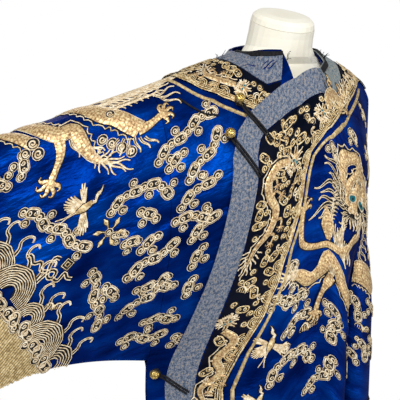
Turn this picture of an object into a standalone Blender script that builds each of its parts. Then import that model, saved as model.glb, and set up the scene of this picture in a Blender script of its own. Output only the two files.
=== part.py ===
"""A late Qing style dragon robe displayed on a limbless dress form.

The wearer's right sleeve (towards -X) is drawn out sideways, the left one hangs. Front is -Y, +Z is up,
and the origin is on the floor under the form's pole. Every cloth piece is a thin wall."""

import math

import bmesh
import bpy
import numpy as np

# Cloth and seams
WALL = 0.002
TRIM_WALL = 0.0012
SEAM = 0.0008
LAYER_GAP = 0.0022
SNUG_GAP = 0.0009
BACK_GAP = 0.0017
OVERLAP_LIFT = 0.006

# Levels and widths of the garment
NECK_HALF = 0.070
SHOULDER = 1.430
NECK_STAND = 0.045
HEM = 0.100
RIGHT_SLOPE = 0.31
LEFT_SLOPE = 0.46
LEFT_TIP = 0.200
TIP_ROUND = 0.035
ARMHOLE = 0.240
SIDE = 0.2364
UNDERARM = 0.945
CUFF = 0.700
LEFT_UNDERARM = 0.930
LEFT_CUFF_Z = 0.790
SKIRT_SWELL = 0.26
FRONT_FULLNESS = 0.045
BACK_FULLNESS = 0.030
GROOVE = 0.5

# Top and opening edge of the outer front, from the left side of the neck to the right side: x, z
OPENING_EDGE = (
    (0.070, 1.430), (0.057, 1.423), (0.041, 1.412), (0.007, 1.402), (-0.034, 1.389), (-0.074, 1.366),
    (-0.116, 1.341), (-0.138, 1.316), (-0.152, 1.280), (-0.159, 1.225), (-0.166, 1.178), (-0.174, 1.132),
    (-0.183, 1.085), (-0.194, 1.030), (-0.206, 0.970), (-0.213, 0.925),
)
CORNER = 6
NECK_END = 3
SIDE_EDGE = -0.213
RIGHT_EDGE = -0.034

# Outer line of the black band at the same stations: x, z, and its inner line is the faded trim's outer line
BAND_EDGE = (
    (0.190, 1.364), (0.125, 1.372), (0.075, 1.352), (0.035, 1.334), (0.006, 1.318), (-0.014, 1.303),
    (-0.030, 1.284), (-0.037, 1.262), (-0.042, 1.238), (-0.047, 1.205), (-0.057, 1.170), (-0.070, 1.135),
    (-0.083, 1.090), (-0.100, 1.045), (-0.128, 0.985), (-0.146, 0.925),
)
TRIM_WIDTH = 0.036
BACK_TRIM = 0.040
BAND_GAP = 0.0016
NECK_LINE = 0.074
YOKE = 0.190
BINDING = 0.006

# Plan sections of the wearer's left side, front then back: x, y from the centre line to the side.
# In the grooved sections the fifth point is the bottom of the fold between the body and the sleeve.
GROOVED_FRONT = (
    (0.0, -0.130), (0.027, -0.136), (0.051, -0.131), (0.069, -0.106), (0.084, -0.076),
    (0.103, -0.094), (0.134, -0.090), (0.174, -0.056), (0.198, 0.0),
)
GROOVED_BACK = (
    (0.0, 0.115), (0.030, 0.118), (0.058, 0.117), (0.080, 0.107), (0.098, 0.086),
    (0.118, 0.118), (0.150, 0.122), (0.187, 0.075), (0.198, 0.0),
)
SKIRT_FRONT = (
    (0.0, -0.130), (0.027, -0.136), (0.051, -0.131), (0.069, -0.106), (0.084, -0.076),
    (0.104, -0.064), (0.120, -0.048), (0.131, -0.026), (0.135, 0.0),
)
SKIRT_BACK = (
    (0.0, 0.115), (0.030, 0.118), (0.058, 0.117), (0.080, 0.107), (0.098, 0.086),
    (0.112, 0.068), (0.124, 0.048), (0.132, 0.025), (0.135, 0.0),
)

# Soft drag folds on the drawn-out sleeve: where each starts and ends, its depth and half width
SLEEVE_FOLDS = (
    {"x0": -0.17, "z0": 1.26, "x1": -0.56, "z1": 1.12, "deep": 0.0065, "half": 0.030},
    {"x0": -0.21, "z0": 1.13, "x1": -0.62, "z1": 1.03, "deep": 0.0060, "half": 0.026},
    {"x0": -0.20, "z0": 1.36, "x1": -0.50, "z1": 1.22, "deep": 0.0050, "half": 0.024},
    {"x0": -0.26, "z0": 0.97, "x1": -0.36, "z1": 1.20, "deep": 0.0060, "half": 0.026},
)

# Dress form under the cloth: level, half width, front depth, back depth
FORM_RINGS = (
    (0.780, 0.100, 0.090, 0.080), (0.800, 0.112, 0.100, 0.092), (0.860, 0.114, 0.100, 0.095),
    (0.960, 0.104, 0.088, 0.082), (1.040, 0.102, 0.085, 0.078), (1.140, 0.120, 0.100, 0.086),
    (1.220, 0.142, 0.108, 0.090), (1.300, 0.154, 0.098, 0.088), (1.350, 0.156, 0.078, 0.076),
    (1.375, 0.150, 0.062, 0.060), (1.393, 0.139, 0.052, 0.050), (1.4034, 0.1200, 0.048, 0.048),
    (1.4125, 0.0965, 0.043, 0.045), (1.4245, 0.066, 0.048, 0.050), (1.440, 0.055, 0.048, 0.051),
    (1.458, 0.053, 0.047, 0.049), (1.474, 0.052, 0.047, 0.048),
)
NECK_START = 1.400
NECK_LEAN = 0.05
NECK_SLANT = 0.34
POLE_RADIUS = 0.016
BASE_RADIUS = 0.215
BASE_HEIGHT = 0.022

# Ball buttons: place of each on the cloth as x, z
BUTTON_RADIUS = 0.0078
SHANK_RADIUS = 0.0018
CORD_RADIUS = 0.0012
CORD_SPREAD = 0.0036
LOOP_HALF = 0.0038
BUTTONS = (
    {"name": "neck", "x": -0.128, "z": 1.354, "tail_x": -0.092, "tail_z": 1.300,
     "low": 0.0028, "rise": 0.0014},
    {"name": "chest", "x": -0.152, "z": 1.310, "tail_x": -0.118, "tail_z": 1.255,
     "low": 0.0007, "rise": 0.0014},
    {"name": "side", "x": -0.2225, "z": 0.945, "tail_x": -0.185, "tail_z": 0.915,
     "low": 0.0009, "rise": 0.0008},
)

MATERIALS = {
    "blue_satin": {"color": (0.012, 0.075, 0.42), "metal": 0.0, "rough": 0.42},
    "black_satin": {"color": (0.012, 0.012, 0.022), "metal": 0.0, "rough": 0.5},
    "faded_brocade": {"color": (0.20, 0.27, 0.38), "metal": 0.0, "rough": 0.8},
    "black_cord": {"color": (0.01, 0.01, 0.012), "metal": 0.0, "rough": 0.7},
    "gilt_metal": {"color": (0.75, 0.50, 0.17), "metal": 1.0, "rough": 0.35},
    "cream_cotton": {"color": (0.86, 0.80, 0.66), "metal": 0.0, "rough": 0.85},
    "steel_pole": {"color": (0.55, 0.55, 0.56), "metal": 1.0, "rough": 0.3},
    "painted_steel": {"color": (0.82, 0.81, 0.78), "metal": 0.0, "rough": 0.4},
}


def smooth(low, high, value):
    """0 at low, 1 at high, with no corner at either; low may be above high."""
    share = np.clip((np.asarray(value, float) - low) / (high - low), 0.0, 1.0)
    return share * share * (3 - 2 * share)


def through(points, share):
    """A smooth curve through evenly spaced points, read at a share from 0 to 1."""
    points = np.asarray(points, float)
    place = np.clip(share, 0, 1) * (len(points) - 1)
    first = np.clip(np.floor(place).astype(int), 0, len(points) - 2)
    t = (place - first)[..., None]
    at = [points[np.clip(first + k, 0, len(points) - 1)] for k in (-1, 0, 1, 2)]
    return 0.5 * (
        2 * at[1]
        + (at[2] - at[0]) * t
        + (2 * at[0] - 5 * at[1] + 4 * at[2] - at[3]) * t**2
        + (3 * at[1] - at[0] - 3 * at[2] + at[3]) * t**3
    )


def shoulder_z(x, slope, rounded):
    """Height of the shoulder fold x metres from the centre line, rising round the neck."""
    if rounded:
        stand = NECK_STAND * smooth(0.056, 0.0, x)
    else:
        stand = NECK_STAND * (1 - np.clip(x / NECK_HALF, 0, 1) ** 2)
    height = SHOULDER + stand - slope * np.clip(x - NECK_HALF, 0, None)
    if rounded:
        past = np.clip((x - LEFT_TIP + TIP_ROUND) / TIP_ROUND, 0, 1)
        height = height - 0.8 * TIP_ROUND * (1 - np.sqrt(1 - 0.96 * past**2))
    return height


def underarm_z(x):
    """Height of the drawn-out sleeve's lower edge."""
    rise = 0.013 * np.sin(math.pi * np.clip((x - ARMHOLE) / 0.22, 0, 1))
    return UNDERARM + rise - 0.15 * np.clip(x - 0.42, 0, None)


def shoulder_round(x):
    """Radius over which the cloth turns down from the shoulder fold."""
    return 0.085 - 0.015 * smooth(0.10, 0.24, x) - 0.037 * smooth(0.22, 0.62, x)


def fallen(top, down, radius):
    """Level and share of the turning depth after this much cloth from the fold."""
    angle = np.clip(down / radius, -math.pi / 2, math.pi / 2)
    level = top - radius * (1 - np.cos(angle)) - np.maximum(0, np.abs(down) - radius * math.pi / 2)
    return level, np.sin(angle)


def down_to(top, level, radius):
    """The cloth between the fold and a level."""
    sink = np.clip((top - level) / radius, 0, 1)
    return radius * np.arccos(1 - sink) + np.maximum(0, top - level - radius)


def right_down(x, z):
    """Cloth from the wearer's right shoulder fold to a level."""
    return down_to(shoulder_z(x, RIGHT_SLOPE, False), z, shoulder_round(x))


def left_down(x, z):
    """Cloth from the wearer's left shoulder fold to a level."""
    return down_to(shoulder_z(x, LEFT_SLOPE, True), z, shoulder_round(x))


def fold_depth(x, z):
    """How far the drag folds press the cloth in at a place of the drawn-out side."""
    total = np.zeros(np.broadcast(x, z).shape)
    for fold in SLEEVE_FOLDS:
        run = np.array([fold["x1"] - fold["x0"], fold["z1"] - fold["z0"]])
        length = np.hypot(*run)
        dx, dz = x - fold["x0"], z - fold["z0"]
        along = (dx * run[0] + dz * run[1]) / length**2
        across = (dx * run[1] - dz * run[0]) / length
        fade = smooth(0, 0.3, along) * smooth(1, 0.6, along)
        total = total + fold["deep"] * fade * np.exp(-((across / fold["half"]) ** 2))
    return total


def ripple(turn, z):
    """The skirt's folds as a share of its radius; turn is the angle round from the centre front."""
    wave = 0.6 * np.sin(6 * turn + 0.9) + 0.5 * np.sin(11 * turn + 2.1)
    return 0.075 * smooth(0.86, 0.12, z) * wave


def right_point(x, down, face):
    """A point of the wearer's right half; x is the distance from the centre line, face 1 front, -1 back."""
    x, down, face = np.broadcast_arrays(np.asarray(x, float), down, face)
    top = shoulder_z(x, RIGHT_SLOPE, False)
    radius = shoulder_round(x)
    z, turned = fallen(top, down, radius)
    bottom = underarm_z(np.maximum(x, ARMHOLE))
    q = np.clip((top - z) / (top - bottom), 0, 1)
    reach = 1 - (1 - np.clip(x / ARMHOLE, 0, 1)) ** 2
    closing = np.sqrt(np.clip(1 - reach**4 * (1 - (1 - q) ** 2) ** 6, 0, 1))
    fullness = np.where(face > 0, FRONT_FULLNESS, BACK_FULLNESS)
    fullness = fullness * (1 - 0.55 * smooth(0.12, 0.28, x)) * (1 - smooth(0.28, 0.5, x))
    fullness = fullness * smooth(0.02, 0.17, top - z)
    depth = (radius * turned + fullness) * closing
    turn = np.where(face > 0, x / ARMHOLE, 2 - x / ARMHOLE) * math.pi / 2
    swell = np.where(x <= ARMHOLE, 1 + SKIRT_SWELL * smooth(0.88, HEM, z) + ripple(turn, z), 1.0)
    depth = depth * (1 + 0.2 * smooth(0.9, HEM, z))
    depth = depth - fold_depth(-x, z) * closing * smooth(0.1, 0.2, x) * smooth(0.0, 0.06, top - z)
    middle = 0.12 * np.clip(x - ARMHOLE, 0, None)
    return np.stack([-x * swell, middle - face * depth * swell, z], -1)


def left_point(x, down, face):
    """A point of the wearer's left half above the hanging cuff, with the sleeve's outer face."""
    x, down, face = np.broadcast_arrays(np.asarray(x, float), down, face)
    share = x / LEFT_TIP
    top = shoulder_z(x, LEFT_SLOPE, True)
    radius = shoulder_round(x)
    z, turned = fallen(top, down, radius)
    reach = 1 - (1 - np.clip(share, 0, 1)) ** 2
    closing = np.sqrt(np.clip(1 - reach**5, 0, 1))
    fullness = np.where(face > 0, FRONT_FULLNESS, BACK_FULLNESS) * (1 - 0.3 * share)
    depth = (radius * turned + fullness * smooth(0.02, 0.17, top - z)) * closing
    plain = np.stack([x, -face * depth], -1)
    table = np.where(face[..., None] > 0, through(GROOVED_FRONT, share), through(GROOVED_BACK, share))
    g = smooth(1.17, 0.98, z)[..., None]
    return np.concatenate([plain * (1 - g) + table * g, z[..., None]], -1)


def skirt_point(share, z, face):
    """A point of the wearer's left half below the underarm, behind the hanging sleeve."""
    share, z, face = np.broadcast_arrays(np.asarray(share, float), z, face)
    table = np.where(face[..., None] > 0, through(SKIRT_FRONT, share), through(SKIRT_BACK, share))
    reach = 1 - (1 - share) ** 2
    deep = np.where(face > 0, 0.130, 0.115) * (1 + 0.2 * smooth(0.9, HEM, z))
    wide = 0.150 + 0.09 * smooth(0.9, 0.35, z)
    plain = np.stack([wide * share, -face * deep * np.sqrt(np.clip(1 - reach**4, 0, 1))], -1)
    g = smooth(LEFT_UNDERARM, 0.45, z)[..., None]
    turn = -np.where(face > 0, share, 2 - share) * math.pi / 2
    swell = 1 + SKIRT_SWELL * smooth(0.88, HEM, z) + ripple(turn, z)
    plan = (table * (1 - g) + plain * g) * swell[..., None]
    return np.concatenate([plan, z[..., None]], -1)


def body_point(x, down, face):
    """A point of the body cloth; x is negative on the wearer's right, and goes to the fold on the left."""
    x, down, face = np.broadcast_arrays(np.asarray(x, float), down, face)
    share = np.clip(x, 0, None) / LEFT_TIP
    z, _ = fallen(shoulder_z(x, LEFT_SLOPE, True), down, shoulder_round(x))
    upper = left_point(np.clip(x, 0, None), down, face)
    left = np.where((z > LEFT_UNDERARM)[..., None], upper, skirt_point(share, z, face))
    return np.where((x < 0)[..., None], right_point(np.clip(-x, 0, None), down, face), left)


def front_face(x, down):
    """The front of the body cloth."""
    return body_point(x, down, 1.0)


def back_face(x, down):
    """The back of the body cloth."""
    return body_point(x, down, -1.0)


def body_down(x, z):
    """Cloth from the shoulder fold to a level, at x."""
    return np.where(x < 0, right_down(np.abs(x), z), left_down(np.abs(x), z))


def overlap_lift(x):
    """How far the outer front stands off the body cloth where it lies on the inner front."""
    return OVERLAP_LIFT * smooth(0.085, 0.03, x)


def band_lift(x):
    """How far the black band stands off under its gap."""
    return overlap_lift(x) + 0.0006


def unit(vectors):
    """Vectors of length one."""
    return vectors / np.maximum(np.linalg.norm(vectors, axis=-1, keepdims=True), 1e-12)


def lifted(face, x, down, height):
    """The point of a face moved out along its normal."""
    step = 0.001
    x, down = np.broadcast_arrays(np.asarray(x, float), np.asarray(down, float))
    across = face(x + step, down) - face(x - step, down)
    along = face(x, down - step) - face(x, down + step)
    normal = unit(np.cross(across, along)) * (-1 if face is back_face else 1)
    return face(x, down) + normal * np.asarray(height)[..., None]


def material(name):
    """The named material, made once."""
    found = bpy.data.materials.get(name)
    if found:
        return found
    made = bpy.data.materials.new(name)
    made.use_nodes = True
    look = MATERIALS[name]
    shader = made.node_tree.nodes["Principled BSDF"]
    shader.inputs["Base Color"].default_value = (*look["color"], 1.0)
    shader.inputs["Metallic"].default_value = look["metal"]
    shader.inputs["Roughness"].default_value = look["rough"]
    made.diffuse_color = (*look["color"], 1.0)
    return made


def add_object(name, points, faces, look, sharp=50.0):
    """One closed body with its faces turned outwards."""
    mesh = bpy.data.meshes.new(name)
    mesh.from_pydata([tuple(float(v) for v in point) for point in points], [], faces)
    shape = bmesh.new()
    shape.from_mesh(mesh)
    bmesh.ops.remove_doubles(shape, verts=shape.verts, dist=1e-6)
    bmesh.ops.recalc_face_normals(shape, faces=shape.faces)
    if shape.calc_volume(signed=True) < 0:
        bmesh.ops.reverse_faces(shape, faces=shape.faces)
    shape.to_mesh(mesh)
    shape.free()
    mesh.materials.append(material(look))
    made = bpy.data.objects.new(name, mesh)
    bpy.context.scene.collection.objects.link(made)
    mesh.shade_smooth()
    mesh.set_sharp_from_angle(angle=math.radians(sharp))
    return made


def cloth(name, outer, inner, look):
    """A thin wall between two grids of points with the same rows and columns."""
    rows, columns = outer.shape[:2]
    points = list(outer.reshape(-1, 3)) + list(inner.reshape(-1, 3))
    back = rows * columns

    def at(row, column):
        return row * columns + column

    faces = []
    for row in range(rows - 1):
        for column in range(columns - 1):
            quad = (at(row, column), at(row, column + 1), at(row + 1, column + 1), at(row + 1, column))
            one = np.linalg.norm(outer[row, column] - outer[row + 1, column + 1])
            other = np.linalg.norm(outer[row, column + 1] - outer[row + 1, column])
            turn = 0 if one <= other else 1
            a, b, c, d = quad[turn:] + quad[:turn]
            for corner in ((a, b, c), (a, c, d)):
                faces.append(corner)
                faces.append(tuple(back + point for point in reversed(corner)))
    rim = [at(0, c) for c in range(columns)]
    rim += [at(r, columns - 1) for r in range(1, rows)]
    rim += [at(rows - 1, c) for c in range(columns - 2, -1, -1)]
    rim += [at(r, 0) for r in range(rows - 2, 0, -1)]
    for here, there in zip(rim, rim[1:] + rim[:1]):
        faces.append((there, here, back + here, back + there))
    return add_object(name, points, faces, look)


def edge_down(x):
    """Cloth from the shoulder fold to the outer front's top or opening edge, at x."""
    table = np.array(OPENING_EDGE)[::-1]
    return body_down(x, np.interp(x, table[:, 0], table[:, 1]))


def neck_down(x, deep):
    """Cloth from the shoulder fold to the round neckline, at x."""
    x = np.abs(np.asarray(x, float))
    radius = shoulder_round(x)
    sine = np.clip(deep * np.sqrt(np.clip(1 - (x / NECK_HALF) ** 2, 0, 1)) / radius, 0, 0.99)
    return np.maximum(radius * np.arcsin(sine), SEAM / 2)


def panel(name, face, x, top, counts, base, middle=UNDERARM):
    """A body panel with a column of points at every x, from its top past the underarm to the hem."""
    first = np.linspace(0, 1, counts[0])[:, None] ** 1.2
    then = np.linspace(0, 1, counts[1] + 1)[1:, None] ** 0.9
    half = np.maximum(body_down(x, middle), top + 0.01)
    upper = top[None, :] + (half - top)[None, :] * first
    lower = half[None, :] + (body_down(x, HEM) - half)[None, :] * then
    down = np.concatenate([upper, lower])
    x = np.broadcast_to(x[None, :], down.shape)
    lift = base(x) if callable(base) else np.full(x.shape, base)
    outer, inner = lifted(face, x, down, lift), lifted(face, x, down, lift - WALL)
    for column in (0, -1):
        if min(abs(-x[0, column] - SIDE), abs(x[0, column] - GROOVE * LEFT_TIP)) < 0.001:
            inner[:, column, 0] = outer[:, column, 0]
    return cloth(name, outer, inner, "blue_satin")


def make_front_outer():
    """The left front with its overlap across to the right side."""
    right = np.concatenate([np.linspace(SIDE_EDGE, -0.160, 8), (-0.155, -0.149, -0.141, -0.130)])
    middle = np.linspace(-0.116, 0.0, 7)
    left = np.linspace(0.014, GROOVE * LEFT_TIP - SEAM / 2, 9)
    x = np.concatenate([right, middle, left])
    top = np.where(x < NECK_HALF, edge_down(x), SEAM / 2)
    return panel("front_outer", front_face, x, top, (14, 6), overlap_lift, 0.90)


def right_columns(start):
    """Column places from near the centre line to the right side seam, closer at the neck and the side."""
    near = NECK_HALF * np.sin(np.linspace(math.asin(start / NECK_HALF), math.pi / 2, 7))
    high = math.asin(SIDE / ARMHOLE)
    far = ARMHOLE * np.sin(np.linspace(math.asin(NECK_HALF / ARMHOLE), high, 10))
    return np.concatenate([near, far[1:]])


def make_front_inner():
    """The right front, mostly under the overlap."""
    x = -right_columns(-RIGHT_EDGE)[::-1]
    return panel("front_inner", front_face, x, neck_down(x, NECK_LINE), (13, 4), 0.0)


def make_backs():
    """Right and left backs, with a centre back seam."""
    x = -right_columns(SEAM / 2)[::-1]
    panel("back_right", back_face, x, neck_down(x, 0.92 * NECK_LINE), (12, 5), 0.0)
    x = np.concatenate([
        np.maximum(NECK_HALF * np.sin(np.linspace(0, math.pi / 2, 7)), SEAM / 2),
        np.linspace(NECK_HALF, GROOVE * LEFT_TIP - SEAM / 2, 4)[1:],
    ])
    panel("back_left", back_face, x, neck_down(x, 0.92 * NECK_LINE), (12, 5), 0.0)


def round_sleeve(turn, x):
    """A point of the drawn-out sleeve; turn runs from -1 at the lower back to 1 at the lower front."""
    turn, x = np.broadcast_arrays(np.asarray(turn, float), x)
    low = right_down(x, underarm_z(x))
    share = np.abs(turn)
    down = low * (share + 0.12 * np.sin(2 * math.pi * share) / math.pi)
    return right_point(x, down, np.where(turn >= 0, 1.0, -1.0))


def make_sleeve_right():
    """The drawn-out sleeve, rolled, with its seam along the lower edge."""
    turn = np.linspace(-0.975, 0.975, 25)
    x = np.concatenate([np.linspace(SIDE + SEAM, 0.52, 10), np.linspace(0.57, CUFF, 3)])
    turn, x = np.meshgrid(turn, x)
    across = round_sleeve(turn + 0.004, x) - round_sleeve(turn - 0.004, x)
    along = round_sleeve(turn, x + 0.001) - round_sleeve(turn, x - 0.001)
    normal = unit(np.cross(along, across))
    if np.sum(normal[..., 1] * np.sign(turn)) > 0:
        normal = -normal
    outer = round_sleeve(turn, x)
    inner = outer - normal * WALL
    inner[0, :, 0] = outer[0, :, 0]
    return cloth("sleeve_right", outer, inner, "blue_satin")


def outer_reach(z):
    """How far out the hanging sleeve reaches at a level, from its shoulder fold."""
    x = np.linspace(GROOVE * LEFT_TIP, LEFT_TIP, 200)
    return np.interp(-np.asarray(z), -shoulder_z(x, LEFT_SLOPE, True), x)


def sleeve_edge(z):
    """Where the hanging sleeve starts beside the body's fold."""
    away = 0.0015 * smooth(1.20, 1.10, z) + 0.0085 * smooth(LEFT_UNDERARM + 0.02, LEFT_UNDERARM - 0.02, z)
    return GROOVE * LEFT_TIP + SEAM / 2 + away


def hanging_sleeve(turn, z):
    """A point of the hanging sleeve's outer face; turn runs from -1 at the back fold to 1 at the front."""
    turn, z = np.broadcast_arrays(np.asarray(turn, float), z)
    power = 2 - 0.85 * smooth(1.39, 1.34, z)
    out = 1 - np.clip(np.abs(turn), 0, 1) ** power
    low = sleeve_edge(z)
    x = low + (outer_reach(z) - low) * out
    return left_point(x, left_down(x, z), np.where(turn >= 0, 1.0, -1.0))


def make_sleeve_left():
    """The hanging sleeve's outer face, from the shoulder to the cuff."""
    apex = float(shoulder_z(np.array([GROOVE * LEFT_TIP]), LEFT_SLOPE, True)[0])
    z = np.concatenate([
        apex - 0.003 - (apex - 1.357) * np.linspace(0, 1, 8) ** 1.3,
        np.linspace(1.33, LEFT_CUFF_Z, 10),
    ])
    turn = np.linspace(-1, 1, 23)
    turn, z = np.meshgrid(turn, z)
    across = hanging_sleeve(turn + 0.003, z) - hanging_sleeve(turn - 0.003, z)
    along = hanging_sleeve(turn, z + 0.001) - hanging_sleeve(turn, z - 0.001)
    normal = unit(np.cross(across, along))
    if np.sum(normal[..., 0]) < 0:
        normal = -normal
    outer = hanging_sleeve(turn, z)
    inner = outer - normal * WALL * (1 + 0.5 * (np.abs(turn) < 0.01))[..., None]
    for column, sign in ((0, -1.0), (-1, 1.0)):
        low = sleeve_edge(z[:, 0])
        inner[:, column] = seam_point(low, left_down(low, z[:, 0]), sign, -WALL)
        inner[:, column, 0] = outer[:, column, 0]
    return cloth("sleeve_left", outer, inner, "blue_satin")


def seam_point(x, down, sign, height):
    """A point beside the left sleeve's seam, moved out along the normal."""
    step = 0.001
    across = left_point(x + step, down, sign) - left_point(x - step, down, sign)
    along = left_point(x, down - step, sign) - left_point(x, down + step, sign)
    return left_point(x, down, sign) + unit(np.cross(across, along)) * sign * height


def side_point(turn, z):
    """A point of the skirt's left side; turn runs from -1 at the back fold to 1 at the front fold."""
    turn, z = np.broadcast_arrays(np.asarray(turn, float), z)
    share = 1 - (1 - GROOVE) * np.abs(turn)
    return skirt_point(share, z, np.where(turn >= 0, 1.0, -1.0))


def side_wall(turn, z, height):
    """The skirt's left side moved out by a height."""
    across = side_point(turn + 0.01, z) - side_point(turn - 0.01, z)
    along = side_point(turn, z + 0.0015) - side_point(turn, z - 0.0015)
    normal = np.cross(across, along)
    normal = normal / np.maximum(np.linalg.norm(normal, axis=-1, keepdims=True), 1e-9)
    if np.sum(normal[..., 0]) < 0:
        normal = -normal
    return side_point(turn, z) + normal * np.asarray(height)[..., None]


def make_left_side():
    """The skirt's left side, and the inner face of the hanging sleeve beside it."""
    turn = np.linspace(-0.985, 0.985, 17)
    z = np.concatenate([np.linspace(LEFT_UNDERARM - SEAM, 0.45, 7), np.linspace(0.34, HEM, 4)])
    turn, z = np.meshgrid(turn, z)
    zero = np.zeros(turn.shape)
    cloth("skirt_left_side", side_wall(turn, z, zero), side_wall(turn, z, zero - WALL), "blue_satin")
    turn = np.linspace(-0.86, 0.86, 15)
    z = np.linspace(LEFT_UNDERARM - 0.004, LEFT_CUFF_Z, 6)
    turn, z = np.meshgrid(turn, z)
    gap = 0.0006 + 0.005 * smooth(LEFT_UNDERARM, LEFT_UNDERARM - 0.05, z)
    outer, inner = side_wall(turn, z, gap + WALL), side_wall(turn, z, gap)
    return cloth("sleeve_left_under", outer, inner, "blue_satin")


def clear_scene():
    """An empty scene."""
    for item in list(bpy.data.objects):
        bpy.data.objects.remove(item, do_unlink=True)


def strip(name, face, inside, outside, columns, base, look, gap=LAYER_GAP):
    """A thin band between two lines of flat places (x, down), standing off the cloth by base."""
    share = np.linspace(0, 1, columns)[None, :, None]
    flat = inside[:, None, :] * (1 - share) + outside[:, None, :] * share
    x, down = flat[..., 0], flat[..., 1]
    lift = (base(x) if callable(base) else base) + gap
    lift = np.broadcast_to(lift, x.shape)
    return cloth(name, lifted(face, x, down, lift + TRIM_WALL), lifted(face, x, down, lift), look)


def edge_line(first, last, spacing):
    """Flat places along the outer front's edge between two stations, and the directions into the cloth."""
    table = np.array(OPENING_EDGE)
    flat = np.stack([table[:, 0], body_down(table[:, 0], table[:, 1])], -1)
    if last >= len(flat):
        hem = np.array([[SIDE_EDGE, body_down(np.array([SIDE_EDGE]), HEM + 0.002)[0]]])
        flat = np.concatenate([flat, hem])
        last = len(flat) - 1
    corners = []
    for index in range(len(flat)):
        before = unit(flat[index] - flat[max(index - 1, 0)] + 1e-12)
        after = unit(flat[min(index + 1, len(flat) - 1)] - flat[index] + 1e-12)
        if index == 0:
            before = after
        if index == len(flat) - 1:
            after = before
        middle = unit(before + after)
        stretch = 1 / max(0.5, float(middle @ after))
        corners.append(np.array([middle[1], -middle[0]]) * stretch)
    corners[0] = np.array([1.0, 0.0])
    places, ways = [], []
    for index in range(first, last):
        count = max(1, int(round(np.linalg.norm(flat[index + 1] - flat[index]) / spacing)))
        for step in range(count):
            t = step / count
            places.append(flat[index] * (1 - t) + flat[index + 1] * t)
            ways.append(corners[index] * (1 - t) + corners[index + 1] * t)
    places.append(flat[last])
    ways.append(corners[last])
    return np.array(places), np.array(ways)


def band_line(spacing):
    """Flat places of the black band's outer line, matching the edge's places one to one."""
    table = np.array(BAND_EDGE)
    edge = np.array(OPENING_EDGE)
    flat = np.stack([table[:, 0], body_down(table[:, 0], table[:, 1])], -1)
    edge = np.stack([edge[:, 0], body_down(edge[:, 0], edge[:, 1])], -1)
    flat[0, 1] = SEAM
    for line in (flat, edge):
        line[0, 1] = max(line[0, 1], SEAM)
    hem = body_down(np.array([SIDE_EDGE, table[-1, 0]]), HEM + 0.002)
    flat = np.concatenate([flat, [[table[-1, 0], hem[1]]]])
    edge = np.concatenate([edge, [[SIDE_EDGE, hem[0]]]])
    places = []
    for index in range(len(flat) - 1):
        count = max(1, int(round(np.linalg.norm(edge[index + 1] - edge[index]) / spacing)))
        for step in range(count):
            places.append(flat[index] + (flat[index + 1] - flat[index]) * step / count)
    places.append(flat[-1])
    return np.array(places)


def make_edge_strips():
    """The faded trim and the black band along the outer front's edge."""
    parts = (("trim_left", 0, NECK_END, 0.012), ("trim_diagonal", NECK_END, CORNER, 0.016),
             ("trim_side", CORNER, 99, 0.024))
    for name, first, last, spacing in parts:
        place, way = edge_line(first, last, spacing)
        along = unit(np.gradient(place, axis=0))
        pull = np.zeros(len(place))
        pull[0] = SEAM / 2
        pull[-1] = -SEAM / 2 if last < 99 else 0
        inside = place + way * 0.0005 + along * pull[:, None]
        outside = place + way * TRIM_WIDTH + along * pull[:, None]
        outside[0, 1] = max(outside[0, 1], SEAM)
        strip(name, front_face, inside, outside, 4, overlap_lift, "faded_brocade")
    place, way = edge_line(0, 99, 0.024)
    outside = band_line(0.024)
    inside = place + way * (TRIM_WIDTH + BAND_GAP)
    inside[0, 1] = SEAM
    strip("band_overlap", front_face, inside, outside, 6, band_lift, "black_satin")
    place, way = edge_line(0, NECK_END, 0.012)
    place[0, 1] = SEAM
    strip("binding_left", front_face, place + way * 0.0005, place + way * BINDING, 2,
          lambda x: overlap_lift(x) + LAYER_GAP + TRIM_WALL, "black_cord", BACK_GAP)


def stand(x):
    """Extra cloth that rises round the neck at x."""
    right = shoulder_z(np.abs(x), RIGHT_SLOPE, False) + RIGHT_SLOPE * np.clip(np.abs(x) - NECK_HALF, 0, None)
    left = np.where(np.abs(x) < 0.1, shoulder_z(np.abs(x), 0.0, True), SHOULDER)
    return np.where(x < 0, right, left) - SHOULDER


def neck_ring(deep, start, end, count, away):
    """Flat places round the neckline from one angle to another, moved away from the neck."""
    angle = np.linspace(start, end, count)
    x = -(NECK_HALF + away) * np.cos(angle)
    base = shoulder_round(NECK_HALF) * math.asin(deep / shoulder_round(NECK_HALF))
    down = (base + away) * np.sin(angle)
    return np.stack([x, np.maximum(down, SEAM)], -1)


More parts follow.
